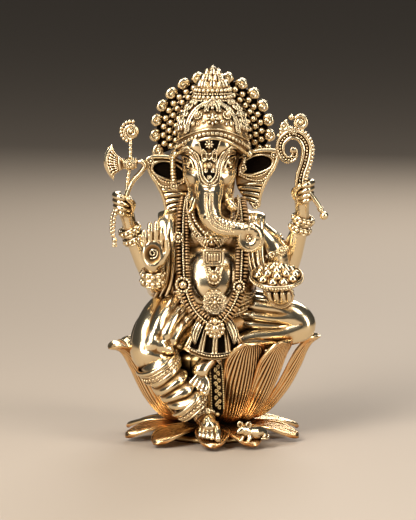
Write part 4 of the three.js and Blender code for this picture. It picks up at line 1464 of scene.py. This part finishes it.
def brow(skin):
    """The ornament on the forehead and down the trunk's root, mirrored about the face's middle line."""
    half_line = [
        (6.4, 144.4), (5, 143), (4, 140), (3.5, 137), (3.2, 134), (3.1, 131), (2.9, 128.4), (2, 126),
        (0.02, 125),
    ]
    edge = through([(FACE_X + x, z) for x, z in half_line], 60)
    left = edge * at(-1, 1) + (2 * FACE_X, 0)
    p = Piece("brow_ornament", finish="jewel")
    p.add(patch(skin, left[::4], edge[::4], 0.4, 80, 60), grime=0.35)
    for side_line in (edge, left):
        p.add(strung(skin.lay(side_line[:-6], 0.5)[0], 0.36))
    course = [
        (13.2, 138.8), (11, 140.2), (8.8, 139.8), (6.9, 137.6), (5.5, 134.6), (4.6, 131.2), (4.1, 128),
        (2.8, 125), (0, 123.5),
    ]
    for inset, r, rod in ((0, 0.5, strung), (1.05, 0.42, wire), (-1.0, 0.36, wire)):
        moved = [(max(x - inset, 0), z - inset * 0.9 * (x > 7) + inset * (x < 3.5)) for x, z in course]
        line = [(FACE_X - x, z) for x, z in moved] + [(FACE_X + x, z) for x, z in moved[-2::-1]]
        p.add(rod(skin.lay(through(line, 150), 0.5)[0], r), grime=0.1)
    for s in SIDES:
        for x, z, r, start, hand in (
            (2.3, 138.6, 1.35, 90, -s), (1.9, 134.6, 1.1, 270, s), (1.4, 129.4, 0.9, 90, -s),
        ):
            on, _ = skin.lay(spiral((FACE_X + s * x, z), r, 0.25, 1.3, start, 26, hand), 0.6)
            p.add(wire(on, [0.34, 0.38, 0.3], 6))
    for z, size, shape in ((142, 2, LEAFY), (132, 1.4, FLOWER), (126.6, 1.2, FLOWER)):
        (c,), (out,) = skin.lay([(FACE_X, z)], 0.7)
        p.add(rosette_at(c, out, size, shape))
    half_heart = [(-1.3, -0.6), (-1.5, 0.8), (-0.7, 1.3)]
    heart = [(0, -2.2), *half_heart, (0, 0.5), *[(-x, z) for x, z in half_heart[::-1]], (0, -2.2)]
    on, _ = skin.lay(through(np.array(heart) + (FACE_X, 136.6), 40), 0.6)
    p.add(wire(on, 0.36, 6))
    p.make()


# ---------------------------------------------------------------- what the hands hold
def axe():
    p = Piece("axe")
    y = -6.0
    staff = through([(-41, y, 108.5), (-40.4, -5.8, 122), (-39, y, 131), (-38.7, -5.6, 143)], 60)
    p.add(wire(staff, 0.75, 12), strung(staff[24:], 0.95, 1.08))
    upper = [(-41.8, y, 133.6), (-44.2, y, 135), (-46.3, y, 137.6), (-47.6, y, 141)]
    lower = [(-41.8, y, 129.2), (-44, y, 128), (-46, y, 126.4), (-46.8, y, 123.6)]
    bow = lambda u, v: np.stack([-16.8 * u * (1 - u) * v**2.2, 0 * u, 0 * u], -1)

    def scallops(u, v):
        arcs = 0.5 * ridge(4.4 * v, 0.8) * (v < 0.86)
        teeth = 0.22 * np.cos(2 * np.pi * 9 * u) * smooth(v, 0.36, 0.42) * (1 - smooth(v, 0.78, 0.84))
        return arcs + teeth - 0.7 * smooth(v, 0.88, 1)

    p.add(slab(upper, lower, scallops, 1.9, 90, 120, warp=bow))
    block = through([(-42.6, y, 131.4), (-35.4, y, 131.6)], 60)
    rims = lambda turn, t: 0.45 * (ridge(3 * t, 0.5) > 0.72) + 0 * turn
    p.add(wire(block, 2.5, 40, relief=rims, blunt=0.4, steps=90))
    p.add(rosette_at((-39, y - 2.9, 131.5), FORWARD, 1.9))
    strap = [
        (-36, -6, 132.4), (-33.2, -6.2, 132.4), (-32.2, -6, 130), (-34.2, -5.8, 127), (-37.6, -5.6, 123.2),
        (-40, -6.2, 118), (-41, -6.6, 113),
    ]
    p.add(wire(through(strap, 90), [1.2, 1.5, 1.6, 1.6, 1.5, 1.4, 1.3], 20, flat=0.8))
    bud = at(-38.5, -5.6, 146.8)
    p.add(disc(bud, 3.7, 1.4))
    p.add(scroll(bud + at(0, -0.6, 0), 3.7, 0.6, 1.8, 262, 80, -1, [0.85, 0.85, 0.8, 0.6], 12))
    p.add(beads([bud + at(0, -1.2, 0)], 0.9))
    p.add(beads(front_ring(bud + at(0, -0.2, 0), 4.75, 9, 1.35, 3.3), 0.9))
    p.make()


def mala():
    p = Piece("prayer_beads", finish="jewel")
    front = [
        (-43.2, -9.4, 112.8), (-45.4, -9.2, 109.5), (-46.6, -8.4, 104), (-46.9, -7.4, 98.4),
        (-46.4, -6.8, 95.8),
    ]
    back = [(-44.2, -6.6, 112), (-47.2, -6.4, 108), (-48, -6, 102), (-47.6, -6.2, 97.6), (-46.6, -6.6, 95.8)]
    p.add(strung(through(front, 60), 0.95, 1.02), strung(through(back, 60), 0.85, 1.02))
    p.add(beads([(-46.4, -6.8, 95.2)], 1.3))
    threads = lambda turn, t: 0.22 * (ridge(7 * turn / (2 * np.pi), 0.8) - 1)
    tassel = through([(-46.4, -6.8, 94.8), (-46.5, -6.8, 91.8)], 20)
    p.add(sweep(tassel, [0.7, 1.1, 1.4], relief=threads, around=42, blunt=0.4, steps=24))
    p.make()


def goad():
    p = Piece("goad", finish="jewel")
    y = -6.6
    hook = [
        (41.6, 112), (40.9, 118), (41.8, 126), (44, 133), (44.6, 139.4), (41.6, 144.4), (36.6, 145.4),
        (32.6, 142), (32.2, 137.2), (34.8, 133.6), (38.2, 134.4), (38.8, 137.4), (36.6, 138.4),
    ]
    line = through(raised(hook, y), 300)

    def channel(turn, t):
        faces = smooth(np.abs(np.cos(turn)), 0.72, 0.86)
        return -0.95 * faces * smooth(t, 0.1, 0.14) * (1 - smooth(t, 0.93, 0.97))

    widths = [1.0, 1.15, 1.3, 1.4, 1.4, 1.35, 1.25, 1.1, 0.9, 0.75]
    p.add(wire(line, widths, 48, flat=1.9, relief=channel, steps=340))
    for lift in (-0.75, 0.75):
        p.add(strung(line[34:276] + at(0, lift, 0), 0.48, 1.5))
    _, up = rails(line, DEEP)
    inwards = np.dot(up[150], line[150] - (38, y, 138)) < 0
    p.add(strung((line + (-up if inwards else up) * 2.9)[60:205], 0.85, 1.06))
    for hand, x, z, r, start in (
        (1, 33.7, 149.4, 2.3, 200), (-1, 41.6, 151, 3.7, 130), (1, 36.6, 147.6, 1.3, 60),
    ):
        p.add(scroll((x, y, z), r, 0.4, 1.6, start, 60, hand, [0.95, 1, 0.85, 0.55], 14))
        p.add(disc((x, y + 0.3, z), r - 0.4, 0.8), beads([(x, y - 0.5, z)], 0.3 * r, FINE))
    p.add(beads([(37.2, y, 153.6)], 1.45), beads([(34.6, y, 151.6), (39.4, y, 153.4)], 0.95))
    p.add(rosette_at((38.6, y - 1.4, 146.9), FORWARD, 1.5))
    tail = through([(41.6, -7.2, 120.5), (45.6, -8.8, 118), (49.2, -9.4, 113.4), (52, -9.5, 108.6)], 60)
    p.add(wire(tail, [1.25, 1.2, 1.1, 1.0], 16), beads([(52.7, -9.5, 107.2)], 2.05))
    for k in (50, 53):
        along = tail[k + 1] - tail[k]
        p.add(loop_of(hoop(tail[k], along, 1.3, side=DEEP, n=24), 0.3, along))
    p.make()


BOWL_CENTRE, BOWL_RADIUS, BOWL_TILT = at(30, -27, 80.5), 12.6, 0.34


def tipped(surface):
    """A surface drawn level round the origin, moved to the bowl and tipped forwards with it."""
    v, f = surface
    c, s = math.cos(BOWL_TILT), math.sin(BOWL_TILT)
    return v @ np.array([[1, 0, 0], [0, c, s], [0, -s, c]]) + BOWL_CENTRE, f


def level_ring(radius, z, n, shift=0.0):
    """n points of a level ring round the origin."""
    a = 2 * np.pi * (np.arange(n) + shift) / n
    return np.stack([radius * np.cos(a), radius * np.sin(a), np.full(n, z)], 1)


def bowl_and_sweets():
    r = BOWL_RADIUS
    p = Piece("bowl")

    def flutes(turn, z):
        wall = smooth(z, -5.4, -4.4) * (1 - smooth(z, -1.8, -0.8))
        return 0.3 * (ridge(28 * turn / (2 * np.pi), 0.7) - 1) * wall

    profile = [
        (0, -6.2), (r * 0.46, -6.2), (r * 0.52, -5.6), (r * 0.84, -2.7), (r * 0.96, -0.4), (r, 0.2),
        (r - 0.5, 0.7), (r - 1.3, 0.2), (r * 0.74, -2.4), (r * 0.4, -4.7), (0, -4.9),
    ]
    p.add(tipped(turned(profile, 224, flutes, 110)))
    p.add(tipped(beads(level_ring(r - 0.2, -0.5, 58), 0.6)))
    p.add(tipped(loop_of(level_ring(r - 0.5, 0.5, 120), 0.42)))
    p.make()
    p = Piece("sweets", finish="skin")
    for n, radius, z, shift, size in (
        (10, 8.6, 0.6, 0.1, 2.45), (6, 5, 2.4, 0.5, 2.45), (3, 2.2, 3.9, 0.2, 2.3),
    ):
        p.add(tipped(beads(level_ring(radius, z, n, shift), size)))
    p.add(tipped(turned([(0, -3.6), (9.5, -2.6), (10, -0.8), (6, 1.2), (0, 2.2)], 60, None, 40)))
    p.make()


# ---------------------------------------------------------------- chest and belly
def both_sides(path):
    """A path from one side of the figure to its middle, as the whole path's two halves."""
    return [(-x, y, z) for x, y, z in path], path[::-1]


def garland():
    p = Piece("garland", finish="jewel")
    outer = [
        (14, -8, 115.5), (15.2, -16, 108.6), (15.6, -19.8, 98), (15.4, -24.6, 86), (14, -28.6, 74),
        (8.8, -32.2, 63.6),
    ]
    inner = [
        (11.4, -9, 115.6), (12, -17.4, 108.4), (12, -21.6, 98), (11.8, -26.4, 86), (10.8, -30, 75),
        (6.6, -33, 65.4),
    ]
    for path, r, pitch, lowest in (
        (outer, 1.8, 1.7, (0.8, -34.8, 57.8)), (inner, 1.35, 1.45, (0.8, -34.8, 61)),
    ):
        right, left = both_sides(path)
        p.add(rope(through([*right, lowest, *left], 600), r, pitch, 14, DEEP, depth=0.5), grime=0.55)
    between = [((a[0] + b[0]) / 2, min(a[1], b[1]) - 0.5, (a[2] + b[2]) / 2) for a, b in zip(outer, inner)]
    right, left = both_sides(between)
    p.add(strung(through([*right, (0.8, -36.2, 58.6), *left], 300), 0.55, 1.05))
    p.add(rosette_at((-16, -22.6, 98.4), (-0.3, -1, 0.1), 2.9))
    p.add(rosette_at((15.4, -22.6, 96), (0.3, -1, 0.1), 2.7))
    for x, y, z, size, petals, boss in ((-13.8, -30.4, 77, 4.3, 14, 1.8), (12.4, -30.8, 76, 3.4, 12, 1.4)):
        p.add(rosette_at((x, y, z), (math.copysign(0.25, x), -1, 0), size, rosette(1, petals)))
        p.add(beads([(x, y - 0.6, z)], boss))
    c = at(1.2, -36.9, 57.2)
    p.add(rosette_at(c, (0, -1, -0.05), 5.2, rosette(1, 12)))
    p.add(rosette_at(c + at(0, -0.4, 0), FORWARD, 2.9, LEAFY))
    p.add(beads([c + at(0, -0.9, 3.6)], 1.5), disc(c + at(0, 0.8, 0), 4.4, 1.6))
    p.make()


def collar():
    p = Piece("collar_necklace", finish="jewel")
    line = [
        (-11.8, -9, 115), (-11.4, -17.6, 107), (-6.4, -21.8, 98.6), (-0.4, -23.6, 95), (6, -22, 98.6),
        (11.6, -17.6, 107), (12, -9, 115),
    ]
    outer = through(line, 500)
    low = lambda x: abs(x) < 10
    inner = [(x * 0.78, y - 0.2 + 1.4 * (not low(x)), z + 3.2 * low(x)) for x, y, z in line]
    p.add(rope(outer, 1.6, 1.4, 14, DEEP), strung(through(inner, 400), 1.0, 1.02))
    p.add(strung(outer + at(0, -1.3, 1.7), 0.5, 1.05), strung(outer + at(0, -0.9, -1.9), 0.62, 1.05))
    for s in SIDES:
        for x, y, z in ((8.6, -23.2, 99.6), (5.4, -23.8, 97.4)):
            p.add(rosette_at((s * x - 0.3, y, z), (s * 0.2, -1, 0), 1.35))
    p.add(rosette_at((-0.3, -26, 98.6), (0, -1, 0.1), 3.4, LEAFY))
    p.add(rosette_at((-0.3, -25.4, 98.6), (0, -1, 0.1), 4.2, rosette(1, 14)))
    p.make()


def boxed(centre, half_width, half_height, y):
    """Points round a rounded rectangle that faces the front."""
    t = full_turn(96)
    x = half_width * fuller(np.cos(t), 0.3)
    z = half_height * fuller(np.sin(t), 0.3)
    return centre + np.stack([x, np.full(96, y), z], 1)


def amulet():
    p = Piece("amulet", finish="jewel")
    c = at(0.4, -28.2, 89.8)
    for half_width, half_height, y, r in ((4.5, 3.5, -1.9, 0.62), (3.3, 2.4, -2.1, 0.4)):
        p.add(loop_of(boxed(c, half_width, half_height, y), r, DEEP, 10))
    case = [(0.02, 2.5), (1, 2.4), (1, 0), (1, -1.8), (0.02, -1.9)]
    rows = [boxed(c, 4.5 * share, 3.5 * share, y) for share, y in case]
    p.add((np.vstack(rows), quads(len(rows), 96)))
    for x in (-2, -0.7, 0.7, 2):
        p.add(wire(np.linspace(c + at(x, -2.1, -1.9), c + at(x, -2.1, 1.9), 8), 0.42))
    for s in SIDES:
        p.add(beads([c + at(s * 5.2, -1.6, 3.4 * k) for k in SIDES], 0.8))
        for k in range(6):
            pair = [c + at(s * (3.2 - 0.34 * k) + x, -1.2 - 0.35 * k, -4.7 - 0.95 * k) for x in (-0.62, 0.62)]
            p.add(beads(pair, 0.58))
        for x in (-1.35, 1.35):
            p.add(wire(through([c + at(s * 3.2 + x, -1, -4), c + at(s * 1.4 + x * 0.8, -3, -10)], 20), 0.36))
    boss = at(0.8, -31.2, 80.6)
    p.add(rosette_at(boss, (0, -1, 0.05), 4.0, rosette(1, 14)))
    p.add(beads([boss + at(0, -0.3, 0)], 2.0), disc(boss + at(0, 0.9, 0), 3.4, 1.8))
    p.make()


def waist_flower():
    p = Piece("waist_flower", finish="jewel")
    c = at(1.1, -31.9, 69)
    p.add(disc(c + at(0, 0.6, 0), 4.7, 2), rosette_at(c + at(0, -1.2, 0), FORWARD, 2.7, LEAFY))
    p.add(beads([c + at(0, -1.7, 0)], 1.2))
    for middle in front_ring(c + at(0, -0.5, 0), 4.75, 14):
        p.add(loop_of(front_ring(middle, 0.85, 14), 0.34, DEEP, 6), beads([middle], 0.4))
    p.add(beads(front_ring(c + at(0, -0.9, 0), 3.3, 20), 0.42))
    for s in SIDES:
        for x, z, r in ((5.8, 63.4, 1.7), (8.2, 66.4, 1.5)):
            p.add(scroll((c[0] + s * x, c[1] + 0.6 + 0.2 * x, z), r, 0.4, 1.3, 90, 30, -s, [0.5, 0.5, 0.4]))
    p.make()


def waistband(skin):
    p = Piece("waistband", finish="jewel")
    level = lambda drop, lift: skin.lay(arc(-20, 68.5 + drop, 21.5, 68.5 + drop, -5.5, 80), lift)[0]
    p.add(strung(level(0, 1.0), 1.2, 1.03))
    for drop in (1.9, -1.9):
        p.add(rope(evenly(level(drop, 0.9), 400), 0.75, 1.0, 10, DEEP))
    for drop in (3.2, -3.2):
        p.add(strung(level(drop, 0.9), 0.55, 1.05))
    p.make()


def apron():
    p = Piece("apron", finish="cloth")
    left = [(-5.6, -29.4, 63), (-8.6, -31, 57), (-11.8, -32, 51), (-13.8, -32.4, 46.8)]
    right = [(9, -29.4, 62.4), (11.6, -30.4, 56), (14, -30, 50), (15, -28.6, 46)]

    def from_pleat(u):
        """How far across a pleat from its crest, from -0.5 to 0.5."""
        x = 4.2 * (u - 0.5)
        return x - np.round(x)

    def pleats(u, v):
        crest = bell(from_pleat(u), 0, 0.27, 4) * (1 - 0.3 * bell(from_pleat(u), 0, 0.07))
        band = smooth(v, 0.845, 0.86)
        edge = bell(v, 0.862, 0.012) + bell(v, 0.975, 0.02)
        return (2.3 * crest - 1.1) * smooth(v, 0.02, 0.2) * (1 - band) + 0.7 * band + 0.75 * edge

    swag = lambda u, v: np.stack([0 * u, -8.8 * u * (1 - u) * v, -18.4 * u * (1 - u) * v**1.5], -1)
    surface = slab(left, right, pleats, 1.7, 110, 260, warp=swag)
    u, v, turn = slab_grid(110, 260)
    # Darkened between the pleats and over the band at the lower edge: patina in the folds, and painted shade.
    between = (1 - bell(from_pleat(u), 0, 0.27, 4)) * smooth(v, 0.05, 0.2) * (1 - smooth(v, 0.84, 0.86))
    p.add(surface, grime=(0.5 * between + 0.3 * smooth(v, 0.86, 0.88)).ravel())
    on, _ = Skin(surface).lay(arc(-12.9, 48.9, 15.2, 48.1, -4.7, 60), 0.25)
    p.add(strung(on, 0.5, 1.2))
    ribs = lambda u, v: 0.4 * ridge(3 * u, 0.8) + 0.5 * (np.minimum(u, 1 - u) < 0.12)
    outer = [(5.5, -30.8, 64), (9.5, -32.4, 59), (11.4, -33.2, 54), (9.6, -34.2, 49.6)]
    inner = [(1.6, -31, 64), (4.4, -33, 60), (6.6, -34, 55), (9.0, -34.4, 49.4)]
    for s in SIDES:
        edges = [[(1 + s * x, y, z) for x, y, z in edge] for edge in (outer, inner)]
        p.add(slab(*edges[::s], ribs, 1.3, 50, 60))
    p.make()


def sash_end():
    p = Piece("sash_end", finish="dark")
    line = through([(1.2, -25.5, 43), (1.8, -28.6, 34), (2.2, -29.6, 25), (2.4, -29, 14.6)], 90)
    p.add(sweep(line, [3.0, 3.3, 3.4, 3.2, 2.4], 0.4, ACROSS, 60, blunt=0.4, steps=110), grime=0.55)
    front = line + at(0, -1.35, 0)
    p.add(strung(front[3:82] + at(-2.9, 0.5, 0), 0.62, 1.05))
    p.add(strung(front[3:78] + at(3.0, 0.6, 0), 0.5, 1.05))
    for k in range(6, 80, 5):
        c = front[k] + at(0.3, 0, 0)
        hand = (-1) ** k
        centre = c + at(0.7 * hand, 0, 0)
        p.add(scroll(centre, 1.0, 0.3, 1.2, math.degrees(k), 20, hand, [0.3, 0.34, 0.28], 6))
        p.add(beads([c + at(-0.9 * hand, 0, 0.8)], 0.36))
    p.add(beads([line[86] + at(0, -1.2, 0)], 1.1))
    p.make()


SHAWL_HALF, SHAWL_DEPTH, SHAWL_WALL = 23.5, 18, 1.9
SHAWL_FOOT, SHAWL_TOP = 50, 108
SHAWL_WRAP = 1.42


def shawl_back():
    """The pleated cloth down the back, wrapped round it as one closed skin with a hem."""
    rows, cols = 150, 420
    up = np.linspace(0, 1, rows)[:, None]
    turn = full_turn(cols)[None]
    u = -np.cos(turn)
    gather = 0.55 + 0.45 * np.abs(2 * up - 0.9)
    fall = u * (0.62 + 0.4 * (1 - up)) + 0.05 * np.sin(2.6 * up + 3 * u)
    pleat = 1.5 * (ridge(8 * fall + 0.25 * np.sin(9 * u), 1.2) - 1) * gather * (0.75 + 0.25 * np.cos(7 * u))
    hem = 0.7 * (1 - smooth(up, 0.05, 0.06)) + 0.4 * ((up > 0.07) & (up < 0.085))
    relief = np.where(np.sin(turn) > 0, pleat * smooth(up, 0.07, 0.1) + hem, 0.5 * pleat)
    out = (fuller(np.sin(turn)) * SHAWL_WALL / 2 + relief) * closing(up, 40)
    full = 1 - 0.1 * np.sin(np.pi * up) + 0.32 * np.maximum(0, 0.45 - up)
    full = full * (1 - 0.46 * smooth(up, 0.66, 1) ** 1.3)
    x = (SHAWL_HALF * full + out) * np.sin(u * SHAWL_WRAP)
    y = (SHAWL_DEPTH * full + out) * np.cos(u * SHAWL_WRAP) - 2 * smooth(up, 0.66, 1)
    z = SHAWL_FOOT + (SHAWL_TOP - SHAWL_FOOT) * (up - 0.06 * np.sin(np.pi * up)) + 1.5 * smooth(up, 0.8, 1)
    return np.stack([x, y, z + 0 * turn], -1).reshape(-1, 3), quads(rows, cols)


def shawl():
    p = Piece("shawl", finish="cloth").add(shawl_back(), grime=0.12)

    def folds(turn, t):
        depth = (0.1 + 1.0 * smooth(t, 0.36, 0.6)) * smooth(t, 0.02, 0.1)
        return depth * (ridge(1.5 * np.cos(turn) + 0.5 + 0.15 * np.sin(3 * t), 1.2) - 1)

    over_right = [
        (-10.5, 8.6, 98), (-16.2, 6, 104.4), (-19.2, -2, 107.2), (-19.8, -8, 105), (-19.6, -14, 96),
        (-19.4, -17, 85), (-21, -16.6, 75), (-25, -15, 66), (-26.6, -14, 61),
    ]
    over_left = [
        (10.5, 8.6, 98), (16.2, 6, 104), (19, -2, 106.6), (19.4, -8, 104), (19.6, -14, 95),
        (20.4, -17.6, 86), (22.6, -19.6, 79),
    ]
    for line in (over_right, over_left):
        widths = [6.6, 6.6, 5.8, 4.6, 4.2, 4.2]
        p.add(sweep(through(line, 120), widths, 0.34, (1, 0.2, 0), 130, folds, blunt=0.3, steps=150))
    p.make()


def mouse():
    clay = Clay((7, -46, 1), (29, -24, 16), 0.22)
    clay.add(bone([(23.4, -31, 6.6), (19.8, -34.4, 8), (16, -37.4, 8.6)], [2.6, 3.7, 2.8], 10))
    clay.add(bone([(15, -38, 9.8), (13.4, -39.8, 9.8), (12, -41, 9.2)], [2.6, 1.9, 0.9], 8), 1)
    for x, y in ((12.9, -36.9), (16.9, -38.4)):
        clay.add(blob((x, y, 12), (1.5, 0.6, 1.6)), 0.3)
        clay.cut(blob((x, y - 0.6, 12.1), (0.9, 0.4, 1)), 0.2)
    for x, y in ((14, -38.6), (17.4, -39.6), (19.6, -30.4), (24.4, -33.6)):
        clay.add(bone([(x, y, 6.4), (x - 0.6, y - 1.6, 5.2)], [1.3, 0.8], 4), 0.6)
        for d in (-0.5, 0, 0.5):
            clay.add(blob((x - 0.9 + d, y - 2.2 + 0.2 * abs(d), 5), (0.3, 0.6, 0.3)), 0.15)
    tail = [(24.6, -30.2, 6.2), (26, -32, 5.4), (25.6, -35.4, 5.2), (23, -37.6, 5.4)]
    clay.add(bone(tail, [1.1, 0.85, 0.65, 0.45], 18), 0.4)
    for x, y in ((12.4, -39.2), (14.7, -40.1)):
        clay.add(blob((x, y, 10.7), 0.45), 0.1)
    for k in range(5):
        crease = [(23 - 1.6 * k, -31.6 - 1.4 * k, 11.4 - 0.12 * k), (22.2 - 1.6 * k, -35.4 - 1.2 * k, 9.6)]
        clay.cut(bone(crease, 0.22, 4), 0.3)
    Piece("mouse", finish="skin").add(clay.surface()).make()


upright_petals()
base_petals()
lotus_hub()
torso_skin = torso()
head_skin = head()
trunk()
tusks()
ears()
brow(head_skin)
crown()
finial()
halo()
arms()
hands()
axe()
mala()
goad()
bowl_and_sweets()
legs()
shawl()
waistband(torso_skin)
garland()
collar()
amulet()
waist_flower()
apron()
sash_end()
mouse()


# ---------------------------------------------------------------- stage
scene = bpy.context.scene
HEIGHT = cad_box[1][2]
LENS = 218
CAMERA_DISTANCE = 1.5
CAMERA_TILT = math.radians(7)


def plain(name, colour, roughness):
    m = bpy.data.materials.new(name)
    m.use_nodes = True
    shader = m.node_tree.nodes["Principled BSDF"]
    shader.inputs["Base Color"].default_value = colour
    shader.inputs["Roughness"].default_value = roughness
    return m


def round_floor():
    bm = bmesh.new()
    bmesh.ops.create_circle(bm, cap_ends=True, segments=96, radius=8.0)
    mesh = bpy.data.meshes.new("floor")
    bm.to_mesh(mesh)
    bm.free()
    mesh.materials.append(plain("pale_floor", (0.45, 0.36, 0.27, 1), 0.75))
    o = bpy.data.objects.new("floor", mesh)
    scene.collection.objects.link(o)
    return o


def softbox(name, place, size, power, colour=(1, 1, 1)):
    """A rectangular lamp turned to the middle of the idol."""
    lamp = bpy.data.lights.new(name, "AREA")
    lamp.shape = "RECTANGLE"
    lamp.size, lamp.size_y = size
    lamp.energy = power
    lamp.color = colour
    o = bpy.data.objects.new(name, lamp)
    o.location = place
    o.rotation_euler = (Vector((0, 0, 0.085)) - Vector(place)).to_track_quat("-Z", "Y").to_euler()
    scene.collection.objects.link(o)


aim = Vector((-2.1 * MM, 0, 0.477 * HEIGHT))
camera = bpy.data.objects.new("camera", bpy.data.cameras.new("camera"))
camera.data.lens = LENS
camera.data.clip_start = 0.01
camera.location = aim + CAMERA_DISTANCE * Vector((0, -math.cos(CAMERA_TILT), math.sin(CAMERA_TILT)))
camera.rotation_euler = (math.pi / 2 - CAMERA_TILT, 0, 0)
scene.collection.objects.link(camera)
scene.camera = camera

floor = round_floor()

softbox("key", (-0.55, -0.85, 0.7), (0.45, 0.45), 11)
softbox("fill", (0.95, -0.6, 0.4), (0.3, 0.7), 5, (1, 0.95, 0.88))
softbox("low", (-0.9, -0.9, 0.2), (0.35, 0.5), 3.5, (1, 0.97, 0.92))
softbox("high_left", (-0.42, -0.55, 0.98), (0.5, 0.4), 5)
softbox("high_right", (0.5, -0.5, 0.98), (0.35, 0.4), 3)
softbox("top", (0.1, 0.1, 1.15), (0.4, 0.4), 3)
softbox("back", (0.3, 1.1, 0.7), (0.6, 0.4), 7)

world = bpy.data.worlds.new("studio")
world.use_nodes = True
world.node_tree.nodes["Background"].inputs["Color"].default_value = (0.5, 0.5, 0.5, 1)
world.node_tree.nodes["Background"].inputs["Strength"].default_value = 0.12
scene.world = world
scene.view_settings.view_transform = "Standard"
